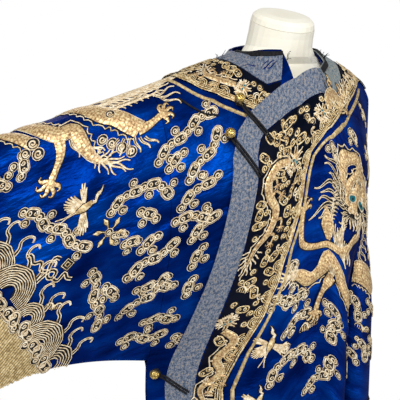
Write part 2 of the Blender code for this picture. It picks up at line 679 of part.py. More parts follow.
def make_neck_strips():
    """Trim and black band round the right side and the back of the neck."""
    end = math.acos(-RIGHT_EDGE / NECK_HALF)
    inner = neck_ring(NECK_LINE, 0, end, 13, 0.0006)
    outer = neck_ring(NECK_LINE, 0, end, 13, TRIM_WIDTH)
    strip("trim_right", front_face, inner, outer, 7, 0.0, "faded_brocade", SNUG_GAP)
    bind = neck_ring(NECK_LINE, 0, end, 13, BINDING)
    strip("binding_right", front_face, inner, bind, 2, SNUG_GAP + TRIM_WALL, "black_cord", SNUG_GAP)
    start = neck_ring(NECK_LINE, 0, end, 13, TRIM_WIDTH + BAND_GAP)
    angle = np.linspace(0, end, 13)
    reach = YOKE - 0.030 * smooth(0, math.radians(50), angle)
    low = reach * np.sin(angle) + 0.8 * stand(-reach * np.cos(angle))
    round_edge = np.stack([-reach * np.cos(angle), np.maximum(low, SEAM)], -1)
    strip("band_right", front_face, start, round_edge, 6, 0.0, "black_satin", SNUG_GAP)
    deep = 0.92 * NECK_LINE
    inner = neck_ring(deep, 0, math.pi, 23, 0.0006)
    outer = neck_ring(deep, 0, math.pi, 23, BACK_TRIM)
    strip("trim_back", back_face, inner, outer, 4, 0.0, "faded_brocade", BACK_GAP)
    start = neck_ring(deep, 0, math.pi, 23, BACK_TRIM + BAND_GAP)
    angle = np.linspace(0, math.pi, 23)
    low = YOKE * np.sin(angle) + 0.8 * stand(-YOKE * np.cos(angle))
    round_edge = np.stack([-YOKE * np.cos(angle), np.maximum(low, SEAM)], -1)
    strip("band_back", back_face, start, round_edge, 6, 0.0, "black_satin", BACK_GAP)


def tube(name, path, radius, out, look):
    """A closed cord along a path of points that lies across one outward direction."""
    path = np.asarray(path, float)
    count = 6
    along = unit(np.gradient(path, axis=0))
    side = unit(np.cross(along, out))
    over = np.cross(side, along)
    points = []
    for place, right, up in zip(path, side, over):
        for step in range(count):
            angle = 2 * math.pi * step / count
            points.append(place + radius * (right * math.cos(angle) + up * math.sin(angle)))
    faces = [tuple(range(count))[::-1]]
    for row in range(len(path) - 1):
        for step in range(count):
            after = (step + 1) % count
            start = row * count
            faces.append((start + step, start + after, start + count + after, start + count + step))
    last = (len(path) - 1) * count
    faces.append(tuple(range(last, last + count)))
    return add_object(name, points, faces, look, 60.0)


def front_normal(x, down):
    """The direction out of the front cloth at one place."""
    return lifted(front_face, x, down, 1.0) - front_face(x, down)


def make_button(button):
    """One ball button on its shank, and the cord loop that holds it to the overlap."""
    x, z = np.array([button["x"]]), np.array([button["z"]])
    down = body_down(x, z)
    foot, out = front_face(x, down)[0], front_normal(x, down)[0]
    low, high = button["low"], 0.0140
    count, rings = 14, 7
    side = unit(np.cross(out, np.array([0.0, 0.0, 1.0])))
    over = np.cross(side, out)
    start = math.pi - math.asin(SHANK_RADIUS / BUTTON_RADIUS)
    middle = high + BUTTON_RADIUS * math.cos(start) * -1
    profile = [(SHANK_RADIUS, low), (SHANK_RADIUS, high)]
    for step in range(1, rings):
        angle = start * (1 - step / rings)
        profile.append((BUTTON_RADIUS * math.sin(angle), middle + BUTTON_RADIUS * math.cos(angle)))
    points = [foot + out * low]
    for radius, level in profile:
        for step in range(count):
            angle = 2 * math.pi * step / count
            spread = side * math.cos(angle) + over * math.sin(angle)
            points.append(foot + out * level + spread * radius)
    points.append(foot + out * (middle + BUTTON_RADIUS))
    faces = []
    for step in range(count):
        after = (step + 1) % count
        faces.append((0, 1 + after, 1 + step))
        for row in range(len(profile) - 1):
            base = 1 + row * count
            faces.append((base + step, base + after, base + count + after, base + count + step))
        top = 1 + (len(profile) - 1) * count
        faces.append((top + step, top + after, len(points) - 1))
    add_object("button_" + button["name"], points, faces, "gilt_metal", 40.0)
    tail = np.array([button["tail_x"], float(body_down(np.array([button["tail_x"]]), button["tail_z"])[0])])
    head = np.array([float(x[0]), float(down[0])])
    make_loop(button["name"], head, tail, out, button["rise"])


def make_loop(name, head, tail, out, rise):
    """A cord loop round a button's shank, with both ends sewn down on the overlap."""
    run = float(np.linalg.norm(tail - head))
    way = (tail - head) / run
    across = np.array([way[1], -way[0]])
    along = list(np.linspace(run, 0, 11))
    aside = [CORD_SPREAD / 2 + (LOOP_HALF - CORD_SPREAD / 2) * float(smooth(0.010, 0.003, s)) for s in along]
    for step in range(1, 6):
        angle = math.pi * step / 6
        along.append(-LOOP_HALF * math.sin(angle))
        aside.append(LOOP_HALF * math.cos(angle))
    along += along[10::-1]
    aside += [-value for value in aside[10::-1]]
    along, aside = np.array(along), np.array(aside)
    flat = head + np.outer(along, way) + np.outer(aside, across)
    level = overlap_lift(flat[:, 0]) + LAYER_GAP + TRIM_WALL + CORD_RADIUS + rise
    surface = lifted(front_face, flat[:, 0], flat[:, 1], level)
    centre = lifted(front_face, head[0], head[1], 0.0115)
    right = front_face(*(head + across * 0.001)) - front_face(*(head - across * 0.001))
    right = unit(right - out * float(right @ out))
    ahead = unit(np.cross(right, out))
    if float(ahead @ (front_face(*(head + way * 0.002)) - front_face(*head))) < 0:
        ahead = -ahead
    plane = centre + np.outer(along, ahead) + np.outer(aside, right)
    share = smooth(0.016, 0.006, along)[:, None]
    path = surface * (1 - share) + plane * share
    tube("loop_" + name, path, CORD_RADIUS, out, "black_cord")


def neck_place(x, y, level):
    """A point of the form moved with the neck's lean to the front and its slanting top."""
    above = max(0.0, level - NECK_START)
    share = above / (FORM_RINGS[-1][0] - NECK_START)
    return (x + NECK_LEAN * above, y - 0.2 * above, level + NECK_SLANT * y * min(1.0, share) ** 2)


def turned(name, profile, look, sharp):
    """A closed body from rings of level, half width, front depth and back depth, low to high."""
    count = 28
    points = []
    for level, wide, front, rear in profile:
        for step in range(count):
            angle = 2 * math.pi * step / count
            deep = front if math.sin(angle) < 0 else rear
            points.append(neck_place(wide * math.cos(angle), deep * math.sin(angle), level))
    faces = [tuple(range(count))[::-1]]
    for row in range(len(profile) - 1):
        for step in range(count):
            after = (step + 1) % count
            start = row * count
            faces.append((start + step, start + after, start + count + after, start + count + step))
    last = (len(profile) - 1) * count
    faces.append(tuple(range(last, last + count)))
    return add_object(name, points, faces, look, sharp)


def round_rings(pairs):
    """Rings of a round body from level and radius pairs."""
    return [(level, radius, radius, radius) for level, radius in pairs]


def make_form():
    """The limbless form: a covered body and neck, a cap, a pole and a round base."""
    turned("form_torso", FORM_RINGS, "cream_cotton", 60.0)
    top = FORM_RINGS[-1][0]
    cap = ((0.0006, 1.0), (0.008, 0.97), (0.013, 0.86), (0.0155, 0.6), (0.0155, 0.2))
    rings = [(top + rise, 0.0515 * wide, 0.0465 * wide, 0.0475 * wide) for rise, wide in cap]
    turned("form_cap", rings, "cream_cotton", 60.0)
    pole = round_rings(((BASE_HEIGHT + 0.0006, POLE_RADIUS), (0.7794, POLE_RADIUS)))
    turned("form_pole", pole, "steel_pole", 40.0)
    edge = 0.006
    base = ((0.0, BASE_RADIUS), (BASE_HEIGHT - edge, BASE_RADIUS), (BASE_HEIGHT, BASE_RADIUS - edge))
    turned("form_base", round_rings(base), "painted_steel", 40.0)


def main():
    """Builds the form and the robe."""
    clear_scene()
    make_form()
    make_front_outer()
    make_front_inner()
    make_backs()
    make_sleeve_right()
    make_sleeve_left()
    make_left_side()
    make_edge_strips()
    make_neck_strips()
    for button in BUTTONS:
        make_button(button)


main()
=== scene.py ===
"""Looks of the dragon robe and of the dress form that it rests on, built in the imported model's frame."""

import math

import bpy
import numpy as np
from mathutils import Matrix, Vector


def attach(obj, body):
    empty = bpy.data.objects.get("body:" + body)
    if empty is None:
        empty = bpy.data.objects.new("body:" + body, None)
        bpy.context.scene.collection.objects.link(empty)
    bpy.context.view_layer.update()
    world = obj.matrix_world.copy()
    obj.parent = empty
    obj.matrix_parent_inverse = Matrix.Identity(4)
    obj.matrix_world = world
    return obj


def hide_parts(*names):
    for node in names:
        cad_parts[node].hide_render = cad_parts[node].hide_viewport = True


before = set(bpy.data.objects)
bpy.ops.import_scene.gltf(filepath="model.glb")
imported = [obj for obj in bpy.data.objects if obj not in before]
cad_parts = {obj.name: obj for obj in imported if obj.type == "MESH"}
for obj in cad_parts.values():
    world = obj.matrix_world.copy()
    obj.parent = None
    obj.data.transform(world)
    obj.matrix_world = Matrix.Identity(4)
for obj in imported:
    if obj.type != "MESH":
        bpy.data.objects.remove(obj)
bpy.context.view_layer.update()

# Cloth and seams, as in the solids
WALL = 0.002
TRIM_WALL = 0.0012
SEAM = 0.0008
LAYER_GAP = 0.0022
SNUG_GAP = 0.0009
BACK_GAP = 0.0017
OVERLAP_LIFT = 0.006

# Levels and widths of the garment, as in the solids
NECK_HALF = 0.070
SHOULDER = 1.430
NECK_STAND = 0.045
HEM = 0.100
RIGHT_SLOPE = 0.31
LEFT_SLOPE = 0.46
LEFT_TIP = 0.200
TIP_ROUND = 0.035
ARMHOLE = 0.240
SIDE = 0.2364
UNDERARM = 0.945
CUFF = 0.700
LEFT_UNDERARM = 0.930
LEFT_CUFF_Z = 0.790
SKIRT_SWELL = 0.26
FRONT_FULLNESS = 0.045
BACK_FULLNESS = 0.030
GROOVE = 0.5
SIDE_SPAN = 0.18

# Top and opening edge of the outer front, from the left side of the neck to the right side: x, z
OPENING_EDGE = (
    (0.070, 1.430), (0.057, 1.423), (0.041, 1.412), (0.007, 1.402), (-0.034, 1.389), (-0.074, 1.366),
    (-0.116, 1.341), (-0.138, 1.316), (-0.152, 1.280), (-0.159, 1.225), (-0.166, 1.178), (-0.174, 1.132),
    (-0.183, 1.085), (-0.194, 1.030), (-0.206, 0.970), (-0.213, 0.925),
)
CORNER = 6
NECK_END = 3
SIDE_EDGE = -0.213
RIGHT_EDGE = -0.034

# Outer line of the black band at the same stations: x, z
BAND_EDGE = (
    (0.190, 1.364), (0.125, 1.372), (0.075, 1.352), (0.035, 1.334), (0.006, 1.318), (-0.014, 1.303),
    (-0.030, 1.284), (-0.037, 1.262), (-0.042, 1.238), (-0.047, 1.205), (-0.057, 1.170), (-0.070, 1.135),
    (-0.083, 1.090), (-0.100, 1.045), (-0.128, 0.985), (-0.146, 0.925),
)
TRIM_WIDTH = 0.036
BACK_TRIM = 0.040
BAND_GAP = 0.0016
NECK_LINE = 0.074
YOKE = 0.190
BINDING = 0.006

# Plan sections of the wearer's left side, front then back: x, y from the centre line to the side
GROOVED_FRONT = (
    (0.0, -0.130), (0.027, -0.136), (0.051, -0.131), (0.069, -0.106), (0.084, -0.076),
    (0.103, -0.094), (0.134, -0.090), (0.174, -0.056), (0.198, 0.0),
)
GROOVED_BACK = (
    (0.0, 0.115), (0.030, 0.118), (0.058, 0.117), (0.080, 0.107), (0.098, 0.086),
    (0.118, 0.118), (0.150, 0.122), (0.187, 0.075), (0.198, 0.0),
)
SKIRT_FRONT = (
    (0.0, -0.130), (0.027, -0.136), (0.051, -0.131), (0.069, -0.106), (0.084, -0.076),
    (0.104, -0.064), (0.120, -0.048), (0.131, -0.026), (0.135, 0.0),
)
SKIRT_BACK = (
    (0.0, 0.115), (0.030, 0.118), (0.058, 0.117), (0.080, 0.107), (0.098, 0.086),
    (0.112, 0.068), (0.124, 0.048), (0.132, 0.025), (0.135, 0.0),
)

# Soft drag folds on the drawn-out sleeve: where each starts and ends, its depth and half width
SLEEVE_FOLDS = (
    {"x0": -0.17, "z0": 1.26, "x1": -0.56, "z1": 1.12, "deep": 0.0065, "half": 0.030},
    {"x0": -0.21, "z0": 1.13, "x1": -0.62, "z1": 1.03, "deep": 0.0060, "half": 0.026},
    {"x0": -0.20, "z0": 1.36, "x1": -0.50, "z1": 1.22, "deep": 0.0050, "half": 0.024},
    {"x0": -0.26, "z0": 0.97, "x1": -0.36, "z1": 1.20, "deep": 0.0060, "half": 0.026},
)

# Fine creases in the satin as flat places on the front: start, end, depth and half width
CREASES = (
    ((-0.16, 0.14), (-0.34, 0.20), 0.0022, 0.009),
    ((-0.18, 0.20), (-0.37, 0.28), -0.0020, 0.010),
    ((-0.20, 0.27), (-0.40, 0.33), 0.0024, 0.009),
    ((-0.21, 0.34), (-0.38, 0.39), -0.0020, 0.008),
    ((-0.23, 0.40), (-0.30, 0.24), 0.0022, 0.008),
    ((-0.24, 0.43), (-0.34, 0.30), -0.0018, 0.009),
    ((-0.30, 0.10), (-0.44, 0.17), 0.0018, 0.008),
    ((-0.12, 0.06), (-0.24, 0.12), 0.0016, 0.008),
    ((0.00, 0.36), (0.09, 0.30), 0.0016, 0.009),
    ((-0.04, 0.44), (0.09, 0.40), -0.0015, 0.010),
    ((0.01, 0.52), (0.09, 0.46), 0.0016, 0.008),
)

# Ball buttons: place of each on the cloth, and where its loop's tail is sewn
BUTTON_RADIUS = 0.0078
CORD_RADIUS = 0.0012
CORD_SPREAD = 0.0036
LOOP_HALF = 0.0038
BUTTONS = (
    {"name": "neck", "x": -0.128, "z": 1.354, "tail_x": -0.092, "tail_z": 1.300, "rise": 0.0014},
    {"name": "chest", "x": -0.152, "z": 1.310, "tail_x": -0.118, "tail_z": 1.255, "rise": 0.0014},
    {"name": "side", "x": -0.2225, "z": 0.945, "tail_x": -0.185, "tail_z": 0.915, "rise": 0.0008},
)

# The photo's view
CAMERA_TARGET = (-0.104, 0.06, 1.19)
CAMERA_TURN = math.radians(-30)
CAMERA_RISE = math.radians(10)
CAMERA_AWAY = 1.35
CAMERA_ANGLE = math.radians(27.5)
AMBIENT = 0.24


def smooth(low, high, value):
    """0 at low, 1 at high, with no corner at either; low may be above high."""
    share = np.clip((np.asarray(value, float) - low) / (high - low), 0.0, 1.0)
    return share * share * (3 - 2 * share)


def through(points, share):
    """A smooth curve through evenly spaced points, read at a share from 0 to 1."""
    points = np.asarray(points, float)
    place = np.clip(share, 0, 1) * (len(points) - 1)
    first = np.clip(np.floor(place).astype(int), 0, len(points) - 2)
    t = (place - first)[..., None]
    at = [points[np.clip(first + k, 0, len(points) - 1)] for k in (-1, 0, 1, 2)]
    return 0.5 * (
        2 * at[1]
        + (at[2] - at[0]) * t
        + (2 * at[0] - 5 * at[1] + 4 * at[2] - at[3]) * t**2
        + (3 * at[1] - at[0] - 3 * at[2] + at[3]) * t**3
    )


def unit(vectors):
    """Vectors of length one."""
    return vectors / np.maximum(np.linalg.norm(vectors, axis=-1, keepdims=True), 1e-12)


def shoulder_z(x, slope, rounded):
    """Height of the shoulder fold x metres from the centre line, rising round the neck."""
    if rounded:
        stand = NECK_STAND * smooth(0.056, 0.0, x)
    else:
        stand = NECK_STAND * (1 - np.clip(x / NECK_HALF, 0, 1) ** 2)
    height = SHOULDER + stand - slope * np.clip(x - NECK_HALF, 0, None)
    if rounded:
        past = np.clip((x - LEFT_TIP + TIP_ROUND) / TIP_ROUND, 0, 1)
        height = height - 0.8 * TIP_ROUND * (1 - np.sqrt(1 - 0.96 * past**2))
    return height


def underarm_z(x):
    """Height of the drawn-out sleeve's lower edge."""
    rise = 0.013 * np.sin(math.pi * np.clip((x - ARMHOLE) / 0.22, 0, 1))
    return UNDERARM + rise - 0.15 * np.clip(x - 0.42, 0, None)


def shoulder_round(x):
    """Radius over which the cloth turns down from the shoulder fold."""
    return 0.085 - 0.015 * smooth(0.10, 0.24, x) - 0.037 * smooth(0.22, 0.62, x)


def fallen(top, down, radius):
    """Level and share of the turning depth after this much cloth from the fold."""
    angle = np.clip(down / radius, -math.pi / 2, math.pi / 2)
    level = top - radius * (1 - np.cos(angle)) - np.maximum(0, np.abs(down) - radius * math.pi / 2)
    return level, np.sin(angle)


def down_to(top, level, radius):
    """The cloth between the fold and a level."""
    sink = np.clip((top - level) / radius, 0, 1)
    return radius * np.arccos(1 - sink) + np.maximum(0, top - level - radius)


def right_down(x, z):
    """Cloth from the wearer's right shoulder fold to a level."""
    return down_to(shoulder_z(x, RIGHT_SLOPE, False), z, shoulder_round(x))


def left_down(x, z):
    """Cloth from the wearer's left shoulder fold to a level."""
    return down_to(shoulder_z(x, LEFT_SLOPE, True), z, shoulder_round(x))


def body_down(x, z):
    """Cloth from the shoulder fold to a level, at x."""
    return np.where(x < 0, right_down(np.abs(x), z), left_down(np.abs(x), z))


def fold_depth(x, z):
    """How far the drag folds press the cloth in at a place of the drawn-out side."""
    total = np.zeros(np.broadcast(x, z).shape)
    for fold in SLEEVE_FOLDS:
        run = np.array([fold["x1"] - fold["x0"], fold["z1"] - fold["z0"]])
        length = np.hypot(*run)
        dx, dz = x - fold["x0"], z - fold["z0"]
        along = (dx * run[0] + dz * run[1]) / length**2
        across = (dx * run[1] - dz * run[0]) / length
        fade = smooth(0, 0.3, along) * smooth(1, 0.6, along)
        total = total + fold["deep"] * fade * np.exp(-((across / fold["half"]) ** 2))
    return total


def ripple(turn, z):
    """The skirt's folds as a share of its radius; turn is the angle round from the centre front."""
    wave = 0.6 * np.sin(6 * turn + 0.9) + 0.5 * np.sin(11 * turn + 2.1)
    return 0.075 * smooth(0.86, 0.12, z) * wave


def right_point(x, down, face):
    """A point of the wearer's right half; x is the distance from the centre line, face 1 front, -1 back."""
    x, down, face = np.broadcast_arrays(np.asarray(x, float), down, face)
    top = shoulder_z(x, RIGHT_SLOPE, False)
    radius = shoulder_round(x)
    z, turned = fallen(top, down, radius)
    bottom = underarm_z(np.maximum(x, ARMHOLE))
    q = np.clip((top - z) / (top - bottom), 0, 1)
    reach = 1 - (1 - np.clip(x / ARMHOLE, 0, 1)) ** 2
    closing = np.sqrt(np.clip(1 - reach**4 * (1 - (1 - q) ** 2) ** 6, 0, 1))
    fullness = np.where(face > 0, FRONT_FULLNESS, BACK_FULLNESS)
    fullness = fullness * (1 - 0.55 * smooth(0.12, 0.28, x)) * (1 - smooth(0.28, 0.5, x))
    fullness = fullness * smooth(0.02, 0.17, top - z)
    depth = (radius * turned + fullness) * closing
    turn = np.where(face > 0, x / ARMHOLE, 2 - x / ARMHOLE) * math.pi / 2
    swell = np.where(x <= ARMHOLE, 1 + SKIRT_SWELL * smooth(0.88, HEM, z) + ripple(turn, z), 1.0)
    depth = depth * (1 + 0.2 * smooth(0.9, HEM, z))
    depth = depth - fold_depth(-x, z) * closing * smooth(0.1, 0.2, x) * smooth(0.0, 0.06, top - z)
    middle = 0.12 * np.clip(x - ARMHOLE, 0, None)
    return np.stack([-x * swell, middle - face * depth * swell, z], -1)


def left_point(x, down, face):
    """A point of the wearer's left half above the hanging cuff, with the sleeve's outer face."""
    x, down, face = np.broadcast_arrays(np.asarray(x, float), down, face)
    share = x / LEFT_TIP
    top = shoulder_z(x, LEFT_SLOPE, True)
    radius = shoulder_round(x)
    z, turned = fallen(top, down, radius)
    reach = 1 - (1 - np.clip(share, 0, 1)) ** 2
    closing = np.sqrt(np.clip(1 - reach**5, 0, 1))
    fullness = np.where(face > 0, FRONT_FULLNESS, BACK_FULLNESS) * (1 - 0.3 * share)
    depth = (radius * turned + fullness * smooth(0.02, 0.17, top - z)) * closing
    plain = np.stack([x, -face * depth], -1)
    table = np.where(face[..., None] > 0, through(GROOVED_FRONT, share), through(GROOVED_BACK, share))
    g = smooth(1.17, 0.98, z)[..., None]
    return np.concatenate([plain * (1 - g) + table * g, z[..., None]], -1)


def skirt_point(share, z, face):
    """A point of the wearer's left half below the underarm, behind the hanging sleeve."""
    share, z, face = np.broadcast_arrays(np.asarray(share, float), z, face)
    table = np.where(face[..., None] > 0, through(SKIRT_FRONT, share), through(SKIRT_BACK, share))
    reach = 1 - (1 - share) ** 2
    deep = np.where(face > 0, 0.130, 0.115) * (1 + 0.2 * smooth(0.9, HEM, z))
    wide = 0.150 + 0.09 * smooth(0.9, 0.35, z)
    plain = np.stack([wide * share, -face * deep * np.sqrt(np.clip(1 - reach**4, 0, 1))], -1)
    g = smooth(LEFT_UNDERARM, 0.45, z)[..., None]
    turn = -np.where(face > 0, share, 2 - share) * math.pi / 2
    swell = 1 + SKIRT_SWELL * smooth(0.88, HEM, z) + ripple(turn, z)
    plan = (table * (1 - g) + plain * g) * swell[..., None]
    return np.concatenate([plan, z[..., None]], -1)


def body_point(x, down, face):
    """A point of the body cloth; x is negative on the wearer's right, and goes to the fold on the left."""
    x, down, face = np.broadcast_arrays(np.asarray(x, float), down, face)
    share = np.clip(x, 0, None) / LEFT_TIP
    z, _ = fallen(shoulder_z(x, LEFT_SLOPE, True), down, shoulder_round(x))
    upper = left_point(np.clip(x, 0, None), down, face)
    left = np.where((z > LEFT_UNDERARM)[..., None], upper, skirt_point(share, z, face))
    return np.where((x < 0)[..., None], right_point(np.clip(-x, 0, None), down, face), left)


def front_face(x, down):
    """The front of the body cloth and of the drawn-out sleeve."""
    return body_point(x, down, 1.0)


def back_face(x, down):
    """The back of the body cloth and of the drawn-out sleeve."""
    return body_point(x, down, -1.0)


def left_front(x, down):
    """The front of the hanging sleeve."""
    return left_point(x, down, 1.0)


def left_back(x, down):
    """The back of the hanging sleeve."""
    return left_point(x, down, -1.0)


def over_shoulder(x, down):
    """The right side as one face: the front, and past the shoulder fold, where down is negative, the back."""
    down = np.asarray(down, float)
    return np.where((down < 0)[..., None], back_face(x, np.abs(down)), front_face(x, np.abs(down)))


def side_face(x, down):
    """The skirt's left side; down is the level below the floor's zero, so it is negative."""
    return side_point(np.asarray(x, float) / SIDE_SPAN, -np.asarray(down, float))


INWARD = (back_face, left_back, side_face)


def overlap_lift(x):
    """How far the outer front stands off the body cloth where it lies on the inner front."""
    return OVERLAP_LIFT * smooth(0.085, 0.03, x)


def band_lift(x):
    """How far the black band stands off under its gap."""
    return overlap_lift(x) + 0.0006


def no_lift(x):
    """Cloth that lies on the face itself."""
    return np.zeros(np.shape(x))


def crease(x, down):
    """Fine creases of the satin at a flat place, none near the seams and the shoulder fold."""
    total = np.zeros(np.broadcast(x, down).shape)
    for start, end, deep, half in CREASES:
        run = np.array([end[0] - start[0], end[1] - start[1]])
        length = np.hypot(*run)
        dx, dd = x - start[0], down - start[1]
        along = (dx * run[0] + dd * run[1]) / length**2
        across = (dx * run[1] - dd * run[0]) / length
        across = across + 0.006 * np.sin(9 * along + 40 * start[0])
        fade = smooth(0, 0.35, along) * smooth(1, 0.55, along)
        total = total + deep * fade * np.exp(-((across / half) ** 2))
    small = np.sin(61 * x + 37 * down + 1.3) * np.sin(43 * down - 29 * x) * 0.0011
    return (1.8 * total + small) * smooth(0.02, 0.06, down)


def lifted(face, x, down, height):
    """The point of a face moved out along its normal, with the satin's creases."""
    step = 0.001
    x, down = np.broadcast_arrays(np.asarray(x, float), np.asarray(down, float))
    across = face(x + step, down) - face(x - step, down)
    along = face(x, down - step) - face(x, down + step)
    normal = unit(np.cross(across, along)) * (-1 if face in INWARD else 1)
    seam = smooth(0.0, 0.012, np.abs(x - GROOVE * LEFT_TIP)) * smooth(0.196, 0.18, x)
    sunk = np.abs(down)
    arm = np.where(x < -SIDE, right_down(np.abs(x), underarm_z(np.abs(x))) - sunk, 1.0)
    fine = crease(x, sunk) * seam * smooth(0.01, 0.05, arm) * (face is not side_face)
    return face(x, down) + normal * (np.asarray(height) + fine)[..., None]


def shader_nodes(name):
    """A new material's node tree, its shader and its texture coordinate node."""
    made = bpy.data.materials.new(name)
    made.use_nodes = True
    tree = made.node_tree
    shader = tree.nodes["Principled BSDF"]
    where = tree.nodes.new("ShaderNodeTexCoord")
    return made, tree, shader, where


def noise(tree, where, source, scale, detail=4.0, stretch=None):
    """A noise texture read from one of the coordinate node's outputs."""
    texture = tree.nodes.new("ShaderNodeTexNoise")
    texture.inputs["Scale"].default_value = scale
    texture.inputs["Detail"].default_value = detail
    if stretch:
        mapping = tree.nodes.new("ShaderNodeMapping")
        mapping.inputs["Scale"].default_value = stretch
        tree.links.new(where.outputs[source], mapping.inputs["Vector"])
        tree.links.new(mapping.outputs["Vector"], texture.inputs["Vector"])
    else:
        tree.links.new(where.outputs[source], texture.inputs["Vector"])
    return texture.outputs["Fac"]


def ramp(tree, value, stops):
    """A colour ramp over a value; stops are position and colour."""
    node = tree.nodes.new("ShaderNodeValToRGB")
    elements = node.color_ramp.elements
    while len(elements) < len(stops):
        elements.new(0.5)
    for element, (position, color) in zip(elements, stops):
        element.position = position
        element.color = (*color, 1.0)
    tree.links.new(value, node.inputs["Fac"])
    return node.outputs["Color"]


def threads(tree, where, source, scale, direction, turn=0.0):
    """Fine parallel threads as a wave texture; direction is X or Y."""
    wave = tree.nodes.new("ShaderNodeTexWave")
    wave.bands_direction = direction
    wave.inputs["Scale"].default_value = scale
    wave.inputs["Distortion"].default_value = 0.6
    wave.inputs["Detail"].default_value = 1.0
    mapping = tree.nodes.new("ShaderNodeMapping")
    mapping.inputs["Rotation"].default_value = (0, 0, turn)
    tree.links.new(where.outputs[source], mapping.inputs["Vector"])
    tree.links.new(mapping.outputs["Vector"], wave.inputs["Vector"])
    return wave.outputs["Fac"]


def math_node(tree, kind, one, other):
    """Two values joined by a math node; each is a socket or a number."""
    node = tree.nodes.new("ShaderNodeMath")
    node.operation = kind
    for socket, value in zip(node.inputs, (one, other)):
        if isinstance(value, (int, float)):
            socket.default_value = value
        else:
            tree.links.new(value, socket)
    return node.outputs[0]


def bump(tree, shader, height, strength, distance, under=None):
    """Surface relief from a height value, over another relief if there is one."""
    node = tree.nodes.new("ShaderNodeBump")
    node.inputs["Strength"].default_value = strength
    node.inputs["Distance"].default_value = distance
    tree.links.new(height, node.inputs["Height"])
    if under:
        tree.links.new(under, node.inputs["Normal"])
    tree.links.new(node.outputs["Normal"], shader.inputs["Normal"])
    return node.outputs["Normal"]


def satin(name, dark, middle, bright, rough, sheen, metal):
    """Silk satin: smooth float threads, soft sheen and small wrinkles; its colour is uneven dye with painted fold shade
    and painted sheen.
    """
    made, tree, shader, where = shader_nodes(name)
    cloud = noise(tree, where, "Object", 9.0, 3.0)
    wrinkle = noise(tree, where, "UV", 16.0, 4.0, (1.0, 2.2, 1.0))
    shade = math_node(tree, "ADD", math_node(tree, "MULTIPLY", cloud, 0.5), math_node(tree, "MULTIPLY", wrinkle, 0.5))
    # Painted light: dark to bright blue over random patches and the wrinkle relief is partly uneven dye, partly painted
    # shade in the folds and painted sheen on the ridges.
    color = ramp(tree, shade, ((0.38, dark), (0.50, middle), (0.64, bright)))
    tree.links.new(color, shader.inputs["Base Color"])
    shader.inputs["Roughness"].default_value = rough
    shader.inputs["Metallic"].default_value = metal
    shader.inputs["Sheen Weight"].default_value = sheen
    shader.inputs["Sheen Roughness"].default_value = 0.35
    shader.inputs["Sheen Tint"].default_value = (*bright, 1.0)
    shader.inputs["Specular IOR Level"].default_value = 0.06
    shader.inputs["Specular Tint"].default_value = (0.03, 0.08, 0.42, 1.0)
    fine = threads(tree, where, "UV", 420.0, "Y")
    cross = threads(tree, where, "UV", 260.0, "X")
    slub = noise(tree, where, "UV", 240.0, 3.0, (0.12, 1.0, 1.0))
    weave = math_node(tree, "ADD", math_node(tree, "MULTIPLY", fine, 0.5), math_node(tree, "MULTIPLY", cross, 0.3))
    creased = bump(tree, shader, wrinkle, 0.7, 0.012)
    bump(tree, shader, math_node(tree, "ADD", weave, slub), 0.18, 0.0004, creased)
    return made


def brocade(name, low, middle, high, fleck):
    """Faded figured silk: worn ribs with paler and pinker threads showing."""
    made, tree, shader, where = shader_nodes(name)
    worn = noise(tree, where, "UV", 330.0, 6.0, (1.0, 0.60, 1.0))
    thread = noise(tree, where, "UV", 1000.0, 3.0, (1.0, 0.50, 1.0))
    mixed = math_node(tree, "ADD", math_node(tree, "MULTIPLY", worn, 0.5), math_node(tree, "MULTIPLY", thread, 0.5))
    color = ramp(tree, mixed, ((0.40, low), (0.48, middle), (0.54, high), (0.62, fleck)))
    tree.links.new(color, shader.inputs["Base Color"])
    shader.inputs["Roughness"].default_value = 0.80
    shader.inputs["Sheen Weight"].default_value = 0.10
    figure = tree.nodes.new("ShaderNodeTexVoronoi")
    figure.inputs["Scale"].default_value = 110.0
    tree.links.new(where.outputs["UV"], figure.inputs["Vector"])
    rib = math_node(tree, "ADD", figure.outputs["Distance"], thread)
    bump(tree, shader, rib, 0.5, 0.0006)
    return made


def gold_thread(name, low, middle, high, metal, rough):
    """Couched metal-wrapped thread: twisted strands with worn and bright places."""
    made, tree, shader, where = shader_nodes(name)
    worn = noise(tree, where, "Object", 210.0, 4.0)
    color = ramp(tree, worn, ((0.36, low), (0.50, middle), (0.64, high)))
    tree.links.new(color, shader.inputs["Base Color"])
    shader.inputs["Metallic"].default_value = metal
    shader.inputs["Roughness"].default_value = rough
    twist = threads(tree, where, "UV", 330.0, "X", 0.6)
    bump(tree, shader, twist, 0.6, 0.0004)
    return made


def gold_scales(name):
    """The dragons' filled bodies: rows of rounded scales in laid gold thread."""
    made, tree, shader, where = shader_nodes(name)
    scale = tree.nodes.new("ShaderNodeTexVoronoi")
    scale.feature = "F1"
    scale.inputs["Scale"].default_value = 210.0
    scale.inputs["Randomness"].default_value = 0.45
    tree.links.new(where.outputs["UV"], scale.inputs["Vector"])
    worn = noise(tree, where, "Object", 380.0, 4.0)
    mixed = math_node(tree, "ADD", math_node(tree, "MULTIPLY", scale.outputs["Distance"], 0.5), worn)
    stops = ((0.50, (0.94, 0.80, 0.50)), (0.66, (0.74, 0.54, 0.25)), (0.78, (0.60, 0.38, 0.19)),
             (0.90, (0.32, 0.19, 0.08)))
    tree.links.new(ramp(tree, mixed, stops), shader.inputs["Base Color"])
    shader.inputs["Metallic"].default_value = 0.45
    shader.inputs["Roughness"].default_value = 0.46
    bump(tree, shader, math_node(tree, "SUBTRACT", 1.0, scale.outputs["Distance"]), 0.7, 0.0012)
    return made


def cotton(name, color, shade):
    """Plain cotton cover: close weave, slightly soiled in random patches."""
    made, tree, shader, where = shader_nodes(name)
    soil = noise(tree, where, "Object", 14.0, 4.0)
    tree.links.new(ramp(tree, soil, ((0.35, shade), (0.62, color))), shader.inputs["Base Color"])
    shader.inputs["Roughness"].default_value = 0.9
    shader.inputs["Sheen Weight"].default_value = 0.15
    weave = noise(tree, where, "Object", 900.0, 2.0)
    bump(tree, shader, weave, 0.25, 0.0004)
    return made


